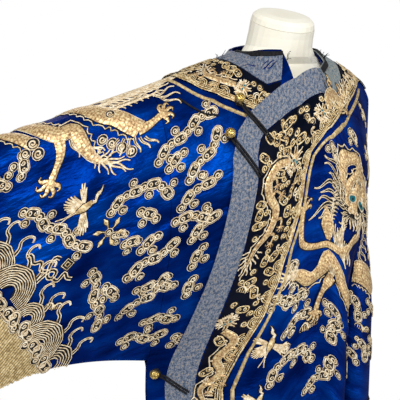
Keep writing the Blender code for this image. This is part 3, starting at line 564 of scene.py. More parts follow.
def cord_look(name):
    """Black silk cord and binding, faintly worn."""
    made, tree, shader, where = shader_nodes(name)
    worn = noise(tree, where, "Object", 260.0, 4.0)
    stops = ((0.40, (0.003, 0.003, 0.005)), (0.72, (0.018, 0.016, 0.018)))
    tree.links.new(ramp(tree, worn, stops), shader.inputs["Base Color"])
    shader.inputs["Roughness"].default_value = 0.75
    shader.inputs["Specular IOR Level"].default_value = 0.25
    bump(tree, shader, threads(tree, where, "Object", 380.0, "X", 0.8), 0.5, 0.0004)
    return made


def metal_look(name, low, high, rough, grain, relief, metal=1.0):
    """Metal or enamel with a worked or brushed surface."""
    made, tree, shader, where = shader_nodes(name)
    worn = noise(tree, where, "Object", grain, 4.0)
    tree.links.new(ramp(tree, worn, ((0.38, low), (0.62, high))), shader.inputs["Base Color"])
    shader.inputs["Metallic"].default_value = metal
    shader.inputs["Roughness"].default_value = rough
    cells = tree.nodes.new("ShaderNodeTexVoronoi")
    cells.inputs["Scale"].default_value = grain
    tree.links.new(where.outputs["Object"], cells.inputs["Vector"])
    bump(tree, shader, math_node(tree, "ADD", cells.outputs["Distance"], worn), relief, 0.001)
    return made


LOOKS = {
    # The satins' dark, middle and bright tones are dye and also painted fold shade and painted sheen.
    "blue": satin(
        "robe_blue_satin", (0.000, 0.005, 0.060), (0.000, 0.016, 0.150), (0.000, 0.044, 0.300), 0.42, 0.0, 0.55),
    "black": satin("band_black_satin", (0.002, 0.003, 0.007), (0.004, 0.005, 0.011), (0.008, 0.009, 0.018), 0.60, 0.0, 0.0),
    "faded": brocade(
        "trim_faded", (0.022, 0.040, 0.085), (0.090, 0.125, 0.190), (0.190, 0.215, 0.270), (0.36, 0.27, 0.19)),
    "worn": brocade(
        "trim_worn", (0.050, 0.080, 0.100), (0.140, 0.185, 0.205), (0.250, 0.290, 0.290), (0.34, 0.27, 0.17)),
    "gold": gold_thread("gold_thread", (0.40, 0.25, 0.10), (0.74, 0.55, 0.27), (0.95, 0.80, 0.50), 0.30, 0.45),
    "cream": gold_thread("cream_thread", (0.56, 0.40, 0.21), (0.82, 0.66, 0.43), (0.98, 0.88, 0.68), 0.10, 0.55),
    "tan": gold_thread("tan_thread", (0.36, 0.25, 0.10), (0.57, 0.42, 0.19), (0.78, 0.62, 0.34), 0.22, 0.55),
    "scales": gold_scales("gold_scales"),
    "ink": cord_look("dark_outline"),
    "cotton": cotton("form_cotton", (0.93, 0.90, 0.78), (0.88, 0.83, 0.68)),
    "cord": cord_look("black_cord_look"),
    "gilt": metal_look("gilt_button", (0.52, 0.33, 0.07), (0.88, 0.68, 0.26), 0.34, 420.0, 0.8),
    "pole": metal_look("brushed_pole", (0.50, 0.50, 0.51), (0.62, 0.62, 0.63), 0.32, 90.0, 0.05),
    "enamel": metal_look("base_enamel", (0.78, 0.77, 0.73), (0.84, 0.83, 0.80), 0.42, 60.0, 0.08, 0.0),
    "teal": satin("eye_teal", (0.01, 0.10, 0.12), (0.02, 0.20, 0.24), (0.03, 0.32, 0.36), 0.45, 0.1, 0.0),
}


def add_mesh(name, points, faces, look, flat=None, sharp=None):
    """A smooth-shaded mesh object with its flat places as texture coordinates."""
    mesh = bpy.data.meshes.new(name)
    mesh.from_pydata(np.asarray(points, float).tolist(), [], faces)
    if flat is not None:
        layer = mesh.uv_layers.new(name="flat")
        index = np.zeros(len(mesh.loops), int)
        mesh.loops.foreach_get("vertex_index", index)
        layer.data.foreach_set("uv", np.asarray(flat, float)[index].ravel())
    mesh.materials.append(LOOKS[look])
    mesh.shade_smooth()
    if sharp:
        mesh.set_sharp_from_angle(angle=math.radians(sharp))
    made = bpy.data.objects.new(name, mesh)
    bpy.context.scene.collection.objects.link(made)
    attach(made, "root")
    return made


def shell(name, outer, inner, look, flat):
    """A thin closed wall between two grids of points with the same rows and columns."""
    rows, columns = outer.shape[:2]
    points = np.concatenate([outer.reshape(-1, 3), inner.reshape(-1, 3)])
    place = np.tile(flat.reshape(-1, 2), (2, 1))
    back = rows * columns
    here = np.arange(back).reshape(rows, columns)
    a, b, c, d = here[:-1, :-1], here[:-1, 1:], here[1:, 1:], here[1:, :-1]
    quads = np.stack([a, b, c, d], -1).reshape(-1, 4)
    corner = points[quads]
    normal = np.cross(corner[:, 1] - corner[:, 0], corner[:, 3] - corner[:, 0])
    way = points[quads[:, 0]] - points[quads[:, 0] + back]
    flip = np.sum(normal * way) < 0
    if flip:
        quads = quads[:, ::-1]
    rim = list(here[0]) + list(here[1:, -1]) + list(here[-1, -2::-1]) + list(here[-2:0:-1, 0])
    rim = [int(value) for value in rim]
    faces = quads.tolist() + (quads[:, ::-1] + back).tolist()
    for one, two in zip(rim, rim[1:] + rim[:1]):
        side = (two, one, back + one, back + two)
        faces.append(side[::-1] if flip else side)
    made = add_mesh(name, points, faces, look, place, 50.0)
    width = float(np.linalg.norm(np.diff(outer, axis=1), axis=-1).sum(axis=1).max())
    length = float(np.linalg.norm(np.diff(outer, axis=0), axis=-1).sum(axis=0).max())
    area = float(np.linalg.norm(normal, axis=1).sum())
    made["cut"] = [width, length, min(area, width * length)]
    return made


def declare(piece):
    """Reads the cloth's cut from its own flat size and keeps it above a least size; the result is not used."""
    width, length, area = piece["cut"]
    width, length = max(width, 0.0102), max(length, 0.0102)
    area = max(area, 0.3 * width * length)


def edge_down(x):
    """Cloth from the shoulder fold to the outer front's top or opening edge, at x."""
    table = np.array(OPENING_EDGE)[::-1]
    return body_down(x, np.interp(x, table[:, 0], table[:, 1]))


def neck_down(x, deep):
    """Cloth from the shoulder fold to the round neckline, at x."""
    x = np.abs(np.asarray(x, float))
    radius = shoulder_round(x)
    sine = np.clip(deep * np.sqrt(np.clip(1 - (x / NECK_HALF) ** 2, 0, 1)) / radius, 0, 0.99)
    return np.maximum(radius * np.arcsin(sine), SEAM / 2)


def panel(name, face, x, top, counts, base, middle=UNDERARM):
    """A body panel with a column of points at every x, from its top past the underarm to the hem."""
    first = np.linspace(0, 1, counts[0])[:, None] ** 1.2
    then = np.linspace(0, 1, counts[1] + 1)[1:, None] ** 0.95
    half = np.maximum(body_down(x, middle), top + 0.01)
    upper = top[None, :] + (half - top)[None, :] * first
    lower = half[None, :] + (body_down(x, HEM) - half)[None, :] * then
    down = np.concatenate([upper, lower])
    x = np.broadcast_to(x[None, :], down.shape)
    lift = base(x)
    outer, inner = lifted(face, x, down, lift), lifted(face, x, down, lift - WALL)
    for column in (0, -1):
        if min(abs(-x[0, column] - SIDE), abs(x[0, column] - GROOVE * LEFT_TIP)) < 0.001:
            inner[:, column, 0] = outer[:, column, 0]
    piece = shell(name, outer, inner, "blue", np.stack([x, down], -1))
    return piece


def right_columns(start):
    """Column places from near the centre line to the right side seam, closer at the neck and the side."""
    near = NECK_HALF * np.sin(np.linspace(math.asin(start / NECK_HALF), math.pi / 2, 14))
    high = math.asin(SIDE / ARMHOLE)
    far = ARMHOLE * np.sin(np.linspace(math.asin(NECK_HALF / ARMHOLE), high, 26))
    return np.concatenate([near, far[1:]])


def make_body_panels():
    """The two fronts and the two backs."""
    right = np.concatenate([np.linspace(SIDE_EDGE, -0.160, 12), np.linspace(-0.156, -0.130, 7)])
    middle = np.linspace(-0.124, 0.0, 17)
    left = np.linspace(0.007, GROOVE * LEFT_TIP - SEAM / 2, 18)
    x = np.concatenate([right, middle, left])
    top = np.where(x < NECK_HALF, edge_down(x), SEAM / 2)
    outer = panel("robe_front_outer", front_face, x, top, (64, 70), overlap_lift, 0.90)
    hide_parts("front_outer")
    x = -right_columns(-RIGHT_EDGE)[::-1]
    inner = panel("robe_front_inner", front_face, x, neck_down(x, NECK_LINE), (64, 40), no_lift)
    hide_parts("front_inner")
    x = -right_columns(SEAM / 2)[::-1]
    rear = panel("robe_back_right", back_face, x, neck_down(x, 0.92 * NECK_LINE), (50, 50), no_lift)
    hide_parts("back_right")
    x = np.concatenate([
        np.maximum(NECK_HALF * np.sin(np.linspace(0, math.pi / 2, 12)), SEAM / 2),
        np.linspace(NECK_HALF, GROOVE * LEFT_TIP - SEAM / 2, 7)[1:],
    ])
    left_rear = panel("robe_back_left", back_face, x, neck_down(x, 0.92 * NECK_LINE), (50, 60), no_lift)
    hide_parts("back_left")
    for piece in (outer, inner, rear, left_rear):
        declare(piece)


def normals_of(place, u, v, du, dv):
    """Normals of a surface given by two grids of parameters."""
    across = place(u + du, v) - place(u - du, v)
    along = place(u, v + dv) - place(u, v - dv)
    return unit(np.cross(across, along))


def round_sleeve(turn, x):
    """Flat place on the drawn-out sleeve; turn runs from -1 at the lower back to 1 at the lower front."""
    low = right_down(x, underarm_z(x))
    share = np.abs(turn)
    return low * (share + 0.12 * np.sin(2 * math.pi * share) / math.pi)


def make_sleeve_right():
    """The drawn-out sleeve, rolled, with its seam along the lower edge."""
    turn = np.linspace(-0.975, 0.975, 131)
    x = np.concatenate([np.linspace(SIDE + SEAM, 0.52, 44), np.linspace(0.528, CUFF, 22)])
    turn, x = np.meshgrid(turn, x)
    down = round_sleeve(turn, x)
    front = turn >= 0
    both = []
    for height in (0.0, -WALL):
        one = lifted(front_face, -x, down, height)
        other = lifted(back_face, -x, down, height)
        both.append(np.where(front[..., None], one, other))
    outer, inner = both
    middle = np.abs(turn[0]) < 0.001
    inner[:, middle] = outer[:, middle] - np.array([0.3, 0.0, 1.0]) / 1.04 * WALL
    inner[0, :, 0] = outer[0, :, 0]
    piece = shell("robe_sleeve_right", outer, inner, "blue", np.stack([-x, down * np.where(front, 1, -1)], -1))
    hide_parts("sleeve_right")
    declare(piece)


def outer_reach(z):
    """How far out the hanging sleeve reaches at a level, from its shoulder fold."""
    x = np.linspace(GROOVE * LEFT_TIP, LEFT_TIP, 200)
    return np.interp(-np.asarray(z), -shoulder_z(x, LEFT_SLOPE, True), x)


def sleeve_edge(z):
    """Where the hanging sleeve starts beside the body's fold."""
    away = 0.0015 * smooth(1.20, 1.10, z) + 0.0085 * smooth(LEFT_UNDERARM + 0.02, LEFT_UNDERARM - 0.02, z)
    return GROOVE * LEFT_TIP + SEAM / 2 + away


def hanging_x(turn, z):
    """How far out a place of the hanging sleeve is; turn runs from -1 at the back fold to 1 at the front."""
    power = 2 - 0.85 * smooth(1.39, 1.34, z)
    out = 1 - np.clip(np.abs(turn), 0, 1) ** power
    low = sleeve_edge(z)
    return low + (outer_reach(z) - low) * out


def hanging_sleeve(turn, z):
    """A point of the hanging sleeve's outer face."""
    turn, z = np.broadcast_arrays(np.asarray(turn, float), z)
    x = hanging_x(turn, z)
    return left_point(x, left_down(x, z), np.where(turn >= 0, 1.0, -1.0))


def hanging_place(turn, z, height):
    """The hanging sleeve's face moved out."""
    normal = normals_of(hanging_sleeve, turn, z, 0.003, 0.001)
    if np.sum(normal[..., 0]) < 0:
        normal = -normal
    return hanging_sleeve(turn, z) + normal * np.asarray(height)[..., None]


def make_sleeve_left():
    """The hanging sleeve's outer face, from the shoulder to the cuff."""
    apex = float(shoulder_z(np.array([GROOVE * LEFT_TIP]), LEFT_SLOPE, True)[0])
    z = np.concatenate([
        apex - 0.003 - (apex - 1.357) * np.linspace(0, 1, 26) ** 1.3,
        np.linspace(1.350, LEFT_CUFF_Z, 64),
    ])
    turn = np.linspace(-1, 1, 71)
    turn, z = np.meshgrid(turn, z)
    outer = hanging_place(turn, z, np.zeros(z.shape))
    inner = hanging_place(turn, z, -WALL * (1 + 0.5 * (np.abs(turn) < 0.01)))
    for column in (0, -1):
        inner[:, column, 0] = outer[:, column, 0]
    x = hanging_x(turn, z)
    flat = np.stack([x, left_down(x, z)], -1)
    piece = shell("robe_sleeve_left", outer, inner, "blue", flat)
    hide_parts("sleeve_left")
    declare(piece)


def side_point(turn, z):
    """A point of the skirt's left side; turn runs from -1 at the back fold to 1 at the front fold."""
    turn, z = np.broadcast_arrays(np.asarray(turn, float), z)
    share = 1 - (1 - GROOVE) * np.abs(turn)
    return skirt_point(share, z, np.where(turn >= 0, 1.0, -1.0))


def side_wall(turn, z, height):
    """The skirt's left side moved out by a height."""
    normal = normals_of(side_point, turn, z, 0.01, 0.0015)
    if np.sum(normal[..., 0]) < 0:
        normal = -normal
    return side_point(turn, z) + normal * np.asarray(height)[..., None]


def make_left_side():
    """The skirt's left side, and the inner face of the hanging sleeve beside it."""
    turn = np.linspace(-0.985, 0.985, 45)
    z = np.linspace(LEFT_UNDERARM - SEAM, HEM, 90)
    turn, z = np.meshgrid(turn, z)
    zero = np.zeros(turn.shape)
    flat = np.stack([turn * SIDE_SPAN, -z], -1)
    skirt = shell("robe_skirt_left", side_wall(turn, z, zero), side_wall(turn, z, zero - WALL), "blue", flat)
    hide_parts("skirt_left_side")
    turn = np.linspace(-0.86, 0.86, 31)
    z = np.linspace(LEFT_UNDERARM - 0.004, LEFT_CUFF_Z, 16)
    turn, z = np.meshgrid(turn, z)
    gap = 0.0006 + 0.005 * smooth(LEFT_UNDERARM, LEFT_UNDERARM - 0.05, z)
    flat = np.stack([turn * SIDE_SPAN, -z], -1)
    under = shell("robe_sleeve_left_under", side_wall(turn, z, gap + WALL), side_wall(turn, z, gap), "blue", flat)
    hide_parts("sleeve_left_under")
    for piece in (skirt, under):
        declare(piece)


def strip(name, node, face, inside, outside, columns, base, look, gap=LAYER_GAP, wall=TRIM_WALL, wear=None):
    """A thin band between two lines of flat places, standing off the cloth by base."""
    share = np.linspace(0, 1, columns)[None, :, None]
    flat = inside[:, None, :] * (1 - share) + outside[:, None, :] * share
    x, down = flat[..., 0], flat[..., 1]
    lift = base(x) + gap
    top = lift + wall
    if wear is not None:
        top = top + wear(x, down, share[..., 0])
    piece = shell(name, lifted(face, x, down, top), lifted(face, x, down, lift), look, flat)
    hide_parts(node)
    declare(piece)
    return piece


def edge_line(first, last, spacing):
    """Flat places along the outer front's edge between two stations, and the directions into the cloth."""
    table = np.array(OPENING_EDGE)
    flat = np.stack([table[:, 0], body_down(table[:, 0], table[:, 1])], -1)
    if last >= len(flat):
        hem = np.array([[SIDE_EDGE, body_down(np.array([SIDE_EDGE]), HEM + 0.002)[0]]])
        flat = np.concatenate([flat, hem])
        last = len(flat) - 1
    corners = []
    for index in range(len(flat)):
        before = unit(flat[index] - flat[max(index - 1, 0)] + 1e-12)
        after = unit(flat[min(index + 1, len(flat) - 1)] - flat[index] + 1e-12)
        if index == 0:
            before = after
        if index == len(flat) - 1:
            after = before
        middle = unit(before + after)
        stretch = 1 / max(0.5, float(middle @ after))
        corners.append(np.array([middle[1], -middle[0]]) * stretch)
    corners[0] = np.array([1.0, 0.0])
    places, ways = [], []
    for index in range(first, last):
        count = max(1, int(round(np.linalg.norm(flat[index + 1] - flat[index]) / spacing)))
        for step in range(count):
            t = step / count
            places.append(flat[index] * (1 - t) + flat[index + 1] * t)
            ways.append(corners[index] * (1 - t) + corners[index + 1] * t)
    places.append(flat[last])
    ways.append(corners[last])
    return np.array(places), np.array(ways)


def band_line(spacing):
    """Flat places of the black band's outer line, matching the edge's places one to one."""
    table = np.array(BAND_EDGE)
    edge = np.array(OPENING_EDGE)
    flat = np.stack([table[:, 0], body_down(table[:, 0], table[:, 1])], -1)
    edge = np.stack([edge[:, 0], body_down(edge[:, 0], edge[:, 1])], -1)
    flat[0, 1] = SEAM
    for line in (flat, edge):
        line[0, 1] = max(line[0, 1], SEAM)
    hem = body_down(np.array([SIDE_EDGE, table[-1, 0]]), HEM + 0.002)
    flat = np.concatenate([flat, [[table[-1, 0], hem[1]]]])
    edge = np.concatenate([edge, [[SIDE_EDGE, hem[0]]]])
    places = []
    for index in range(len(flat) - 1):
        count = max(1, int(round(np.linalg.norm(edge[index + 1] - edge[index]) / spacing)))
        for step in range(count):
            places.append(flat[index] + (flat[index + 1] - flat[index]) * step / count)
    places.append(flat[-1])
    return np.array(places)


def stand(x):
    """Extra cloth that rises round the neck at x."""
    right = shoulder_z(np.abs(x), RIGHT_SLOPE, False) + RIGHT_SLOPE * np.clip(np.abs(x) - NECK_HALF, 0, None)
    left = np.where(np.abs(x) < 0.1, shoulder_z(np.abs(x), 0.0, True), SHOULDER)
    return np.where(x < 0, right, left) - SHOULDER


def neck_ring(deep, start, end, count, away):
    """Flat places round the neckline from one angle to another, moved away from the neck."""
    angle = np.linspace(start, end, count)
    x = -(NECK_HALF + away) * np.cos(angle)
    base = shoulder_round(NECK_HALF) * math.asin(deep / shoulder_round(NECK_HALF))
    down = (base + away) * np.sin(angle)
    return np.stack([x, np.maximum(down, SEAM)], -1)


def yoke_edge(count, end, deep):
    """Flat places of the black band's outer line round the neck."""
    angle = np.linspace(0, end, count)
    reach = YOKE - deep * smooth(0, math.radians(50), angle)
    low = reach * np.sin(angle) + 0.8 * stand(-reach * np.cos(angle))
    return np.stack([-reach * np.cos(angle), np.maximum(low, SEAM)], -1)


def torn(x, down, share):
    """Soft buckles in the faded trim."""
    buckle = 0.0007 * np.sin(150 * x + 90 * down) * np.sin(70 * down - 40 * x)
    return (buckle + 0.0004) * smooth(0, 0.25, share) * smooth(1, 0.75, share)


def make_trims():
    """The faded trim, black band and binding along the overlap and round the neck."""
    parts = (("left", 0, NECK_END, "worn"), ("diagonal", NECK_END, CORNER, "faded"), ("side", CORNER, 99, "faded"))
    for name, first, last, look in parts:
        place, way = edge_line(first, last, 0.006)
        along = unit(np.gradient(place, axis=0))
        pull = np.zeros(len(place))
        pull[0] = SEAM / 2
        pull[-1] = -SEAM / 2 if last < 99 else 0
        inside = place + way * 0.0005 + along * pull[:, None]
        outside = place + way * TRIM_WIDTH + along * pull[:, None]
        outside[0, 1] = max(outside[0, 1], SEAM)
        strip("robe_trim_" + name, "trim_" + name, front_face, inside, outside, 9, overlap_lift, look,
              wear=torn)
    place, way = edge_line(0, 99, 0.008)
    outside = band_line(0.008)
    inside = place + way * (TRIM_WIDTH + BAND_GAP)
    inside[0, 1] = SEAM
    strip("robe_band_overlap", "band_overlap", front_face, inside, outside, 16, band_lift, "black")
    place, way = edge_line(0, NECK_END, 0.004)
    place[0, 1] = SEAM

    def over_trim(x):
        return overlap_lift(x) + LAYER_GAP + TRIM_WALL

    strip("robe_binding_left", "binding_left", front_face, place + way * 0.0005, place + way * BINDING, 4,
          over_trim, "cord", BACK_GAP)
    end = math.acos(-RIGHT_EDGE / NECK_HALF)
    inner = neck_ring(NECK_LINE, 0, end, 40, 0.0006)
    outer = neck_ring(NECK_LINE, 0, end, 40, TRIM_WIDTH)
    strip("robe_trim_right", "trim_right", front_face, inner, outer, 14, no_lift, "faded",
          SNUG_GAP, wear=torn)
    bind = neck_ring(NECK_LINE, 0, end, 40, BINDING)

    def over_right(x):
        return np.full(np.shape(x), SNUG_GAP + TRIM_WALL)

    strip("robe_binding_right", "binding_right", front_face, inner, bind, 4, over_right, "cord",
          SNUG_GAP)
    start = neck_ring(NECK_LINE, 0, end, 40, TRIM_WIDTH + BAND_GAP)
    strip("robe_band_right", "band_right", front_face, start, yoke_edge(40, end, 0.030), 18, no_lift, "black",
          SNUG_GAP)
    deep = 0.92 * NECK_LINE
    inner = neck_ring(deep, 0, math.pi, 60, 0.0006)
    outer = neck_ring(deep, 0, math.pi, 60, BACK_TRIM)
    strip("robe_trim_back", "trim_back", back_face, inner, outer, 8, no_lift, "faded", BACK_GAP)
    start = neck_ring(deep, 0, math.pi, 60, BACK_TRIM + BAND_GAP)
    strip("robe_band_back", "band_back", back_face, start, yoke_edge(60, math.pi, 0.0), 18, no_lift, "black",
          BACK_GAP)


def cord_tube(name, path, radius, look, sides=8):
    """A closed round cord along a path of points."""
    path = np.asarray(path, float)
    along = unit(np.gradient(path, axis=0))
    side = unit(np.cross(along, np.array([0.31, -0.9, 0.2])))
    over = np.cross(side, along)
    angle = np.linspace(0, 2 * math.pi, sides, endpoint=False)
    ring = side[:, None, :] * np.cos(angle)[None, :, None] + over[:, None, :] * np.sin(angle)[None, :, None]
    points = (path[:, None, :] + ring * radius).reshape(-1, 3)
    faces = [tuple(range(sides))[::-1]]
    for row in range(len(path) - 1):
        for step in range(sides):
            after = (step + 1) % sides
            start = row * sides
            faces.append((start + step, start + after, start + sides + after, start + sides + step))
    last = (len(path) - 1) * sides
    faces.append(tuple(range(last, last + sides)))
    length = np.concatenate([[0], np.cumsum(np.linalg.norm(np.diff(path, axis=0), axis=1))])
    flat = np.stack([np.repeat(length, sides), np.tile(angle * radius, len(path))], -1)
    piece = add_mesh(name, points, faces, look, flat)
    return piece


def make_buttons():
    """Worked gilt ball buttons on their shanks, and their cord loops."""
    for button in BUTTONS:
        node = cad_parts["button_" + button["name"]]
        node.data.materials.clear()
        node.data.materials.append(LOOKS["gilt"])
        x, z = np.array([button["x"]]), np.array([button["z"]])
        down = body_down(x, z)
        out = (lifted(front_face, x, down, 1.0) - lifted(front_face, x, down, 0.0))[0]
        head = np.array([float(x[0]), float(down[0])])
        tail = np.array([button["tail_x"], float(body_down(np.array([button["tail_x"]]), button["tail_z"])[0])])
        run = float(np.linalg.norm(tail - head))
        way = (tail - head) / run
        across = np.array([way[1], -way[0]])
        along = list(np.linspace(run, 0, 31))
        aside = [CORD_SPREAD / 2 + (LOOP_HALF - CORD_SPREAD / 2) * float(smooth(0.010, 0.003, s)) for s in along]
        for step in range(1, 12):
            angle = math.pi * step / 12
            along.append(-LOOP_HALF * math.sin(angle))
            aside.append(LOOP_HALF * math.cos(angle))
        aside += [-value for value in aside[30::-1]]
        along += along[30::-1]
        along, aside = np.array(along), np.array(aside)
        flat = head + np.outer(along, way) + np.outer(aside, across)
        level = overlap_lift(flat[:, 0]) + LAYER_GAP + TRIM_WALL + CORD_RADIUS + button["rise"]
        surface = lifted(front_face, flat[:, 0], flat[:, 1], level)
        centre = lifted(front_face, head[0], head[1], 0.0115)
        right = front_face(*(head + across * 0.001)) - front_face(*(head - across * 0.001))
        right = unit(right - out * float(right @ out))
        ahead = unit(np.cross(right, out))
        if float(ahead @ (front_face(*(head + way * 0.002)) - front_face(*head))) < 0:
            ahead = -ahead
        plane = centre + np.outer(along, ahead) + np.outer(aside, right)
        share = smooth(0.016, 0.006, along)[:, None]
        path = surface * (1 - share) + plane * share
        loop = cord_tube("robe_loop_" + button["name"], path, CORD_RADIUS * 1.45, "cord")
        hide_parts("loop_" + button["name"])


class Stitches:
    """Raised thread work gathered for one part of the robe, by look, in flat places."""

    def __init__(self, name, face, base, slot="gilt_metal"):
        self.name, self.face, self.base, self.slot = name, face, base, slot
        self.flat, self.high, self.faces, self.thread = {}, {}, {}, {}
        self.taken = []
        self.level = 0.0
        self.pale = "cream"
        self.halo = True

    def take(self, places, reach):
        """Notes that a motif covers these places, this far round."""
        self.taken += [(place[0], place[1], reach) for place in places]

    def free(self, place, reach):
        """Whether no motif lies this near a place."""
        taken = np.array(self.taken).reshape(-1, 3)
        return bool(np.all(np.hypot(taken[:, 0] - place[0], taken[:, 1] - place[1]) > taken[:, 2] + reach))

    def add(self, look, flat, high, faces, thread):
        """Adds points with their heights over the cloth, faces and thread coordinates."""
        start = sum(len(part) for part in self.flat.setdefault(look, []))
        self.flat[look].append(flat)
        self.high.setdefault(look, []).append(high + self.level)
        self.faces.setdefault(look, []).append(np.asarray(faces) + start)
        self.thread.setdefault(look, []).append(thread)

    def line(self, look, points, width, high, low=0.0002, columns=3):
        """A rounded line of thread along flat points; width is one number or one for each point."""
        points = np.asarray(points, float)
        count = len(points)
        along = unit(np.gradient(points, axis=0) + 1e-12)
        aside = np.stack([-along[:, 1], along[:, 0]], -1)
        share = np.linspace(-1, 1, columns)
        wide = np.broadcast_to(np.asarray(width, float), (count,)) / 2
        flat = points[:, None, :] + aside[:, None, :] * (share[None, :] * wide[:, None])[..., None]
        rise = low + (high - low) * np.sqrt(np.clip(1 - share**2, 0, 1)) if columns > 2 else np.full(2, high)
        tall = np.broadcast_to(rise, (count, columns)) * np.clip(wide / wide.max(), 0.3, 1)[:, None]
        length = np.concatenate([[0], np.cumsum(np.linalg.norm(np.diff(points, axis=0), axis=1))])
        thread = np.stack(np.broadcast_arrays(length[:, None], share[None, :] * wide[:, None]), -1)
        here = np.arange(count * columns).reshape(count, columns)
        quads = np.stack([here[:-1, :-1], here[1:, :-1], here[1:, 1:], here[:-1, 1:]], -1).reshape(-1, 4)
        self.add(look, flat.reshape(-1, 2), tall.reshape(-1), quads, thread.reshape(-1, 2))

    def patch(self, look, outline, high):
        """A flat filled shape seen whole from its middle."""
        outline = np.asarray(outline, float)
        middle = outline.mean(axis=0)
        count = len(outline)
        one, two = outline - middle, np.roll(outline, -1, axis=0) - middle
        area = np.sum(one[:, 0] * two[:, 1] - one[:, 1] * two[:, 0])
        flat = np.concatenate([[middle], outline])
        high = np.concatenate([[high], np.full(count, high)])
        here = np.arange(count)
        after = (here + 1) % count
        faces = np.stack([np.zeros(count, int), here + 1, after + 1, np.zeros(count, int)], -1)
        if area > 0:
            faces = faces[:, [0, 2, 1, 3]]
        self.add(look, flat, high, faces, flat)

    def finish(self):
        """Makes one object for each look."""
        made = []
        for look in self.flat:
            flat = np.concatenate(self.flat[look])
            high = np.concatenate(self.high[look]) + self.base(flat[:, 0])
            thread = np.concatenate(self.thread[look])
            faces = np.concatenate(self.faces[look])
            if self.face in (over_shoulder, back_face):
                inside = (flat[:, 0] > -SIDE) | on_sleeve(flat[:, 0], np.abs(flat[:, 1]), 0.009)
                used, faces = np.unique(faces[inside[faces].all(axis=1)], return_inverse=True)
                faces = faces.reshape(-1, 4)
                flat, high, thread = flat[used], high[used], thread[used]
            if self.face not in (over_shoulder, side_face):
                flat[:, 1] = np.maximum(flat[:, 1], 0.0005)
            points = lifted(self.face, flat[:, 0], flat[:, 1], high)
            solid = faces[:, 0] != faces[:, 3]
            quads, fans = faces[solid], faces[~solid][:, :3]
            if self.face in INWARD:
                quads, fans = quads[:, ::-1], fans[:, ::-1]
            listed = quads.tolist() + fans.tolist()
            piece = add_mesh(self.name + "_" + look, points, listed, look, thread)
            made.append(piece)
        return made


def spaced(points, spacing):
    """A smooth line through control points, as points this far apart."""
    fine = through(points, np.linspace(0, 1, 24 * len(points)))
    length = np.concatenate([[0], np.cumsum(np.linalg.norm(np.diff(fine, axis=0), axis=1))])
    count = max(3, int(round(length[-1] / spacing)) + 1)
    at = np.linspace(0, length[-1], count)
    return np.stack([np.interp(at, length, fine[:, 0]), np.interp(at, length, fine[:, 1])], -1)


def turned_by(points, angle, centre, size=1.0):
    """Points turned round the origin, scaled and moved."""
    points = np.asarray(points, float) * size
    c, s = math.cos(angle), math.sin(angle)
    return points @ np.array([[c, s], [-s, c]]) + np.asarray(centre, float)


def spiral(radius, turns, start, hand, count):
    """A curl that winds in from its rim."""
    share = np.linspace(0, 1, count)
    angle = start + hand * 2 * math.pi * turns * share
    reach = radius * (1 - 0.80 * share)
    return np.stack([reach * np.cos(angle), reach * np.sin(angle)], -1)


def oval(half_length, radius, count):
    """A closed outline with straight sides and round ends."""
    angle = np.linspace(0, 2 * math.pi, count)
    x = radius * np.cos(angle) + half_length * np.tanh(5 * np.cos(angle))
    return np.stack([x, radius * np.sin(angle)], -1)


def pair(work, centre, angle, size=1.0):
    """A cloud head: two curls in one rounded outline."""
    work.take([centre], 0.0095 * size)
    if work.halo:
        work.patch(work.pale, turned_by(oval(0.0034, 0.0082, 16), angle, centre, size), 0.0006)
    work.patch("ink", turned_by(oval(0.0034, 0.0073, 16), angle, centre, size), 0.0010)
    work.line(work.pale, turned_by(oval(0.0034, 0.0056, 21), angle, centre, size), 0.0020 * size, 0.0019, 0.0010)
    for side in (-1, 1):
        inner = spiral(0.0033, 1.1, -side * math.pi / 2, side, 11) + np.array([side * 0.0041, 0.0])
        work.line(work.pale, turned_by(inner, angle, centre, size), 0.0015 * size, 0.0018, 0.0010)


def curl(work, centre, angle, size=1.0):
    """A small round curl in its outline."""
    work.take([centre], 0.0062 * size)
    if work.halo:
        work.patch(work.pale, turned_by(oval(0.0, 0.0071, 13), angle, centre, size), 0.0006)
    work.patch("ink", turned_by(oval(0.0, 0.0062, 13), angle, centre, size), 0.0010)
    path = spiral(0.0047, 1.4, 0.0, 1, 20)
    work.line(work.pale, turned_by(path, angle, centre, size), 0.0018 * size, 0.0019, 0.0010)


def cloud(work, points, size=1.0):
    """Touching curls and cloud heads strung along a line, with curls beside the heads."""
    line = spaced(points, 0.0128 * size)
    along = unit(np.gradient(line, axis=0))
    for index, (place, way) in enumerate(zip(line, along)):
        angle = math.atan2(way[1], way[0])
        hand = 1 if index % 4 < 2 else -1
        aside = np.array([-way[1], way[0]]) * hand
        if index % 2:
            pair(work, place - aside * 0.0022 * size, angle - 0.35 * hand, size)
            curl(work, place + aside * 0.0118 * size, angle, 0.92 * size)
        else:
            curl(work, place + aside * 0.0022 * size, angle, size)


def field(work, columns, rows, inside):
    """Clouds on a staggered grid wherever the cloth is still free."""
    for row, down in enumerate(rows):
        for x in columns:
            stray = np.array([math.sin(47 * x + 5.1 * row), math.sin(83 * x - 3.7 * row)])
            middle = np.array([x + 0.040 * (row % 2), down]) + stray * 0.010
            turn = 0.95 * math.sin(31 * x + 2.3 * row) - 0.25
            run = np.array([math.cos(turn), math.sin(turn)]) * (0.020 if (row + int(100 * x)) % 3 else 0.030)
            places = (middle - run, middle, middle + run)
            if all(inside(*place) and work.free(place, 0.016) for place in places):
                cloud(work, [middle - run, middle + run])


def fill(work, places, size):
    """Clusters of touching curls and cloud heads wherever a band is still free."""
    for index, place in enumerate(places):
        gap = math.sin(95 * place[0] + 1.7) * math.sin(110 * place[1]) + 0.5 * math.sin(230 * place[0] - 90 * place[1])
        if gap > -0.55 and work.free(place, 0.0026 * size):
            if index % 3 == 0:
                pair(work, place, 0.9 * index, 0.92 * size)
            else:
                curl(work, place, 1.7 * index, size)


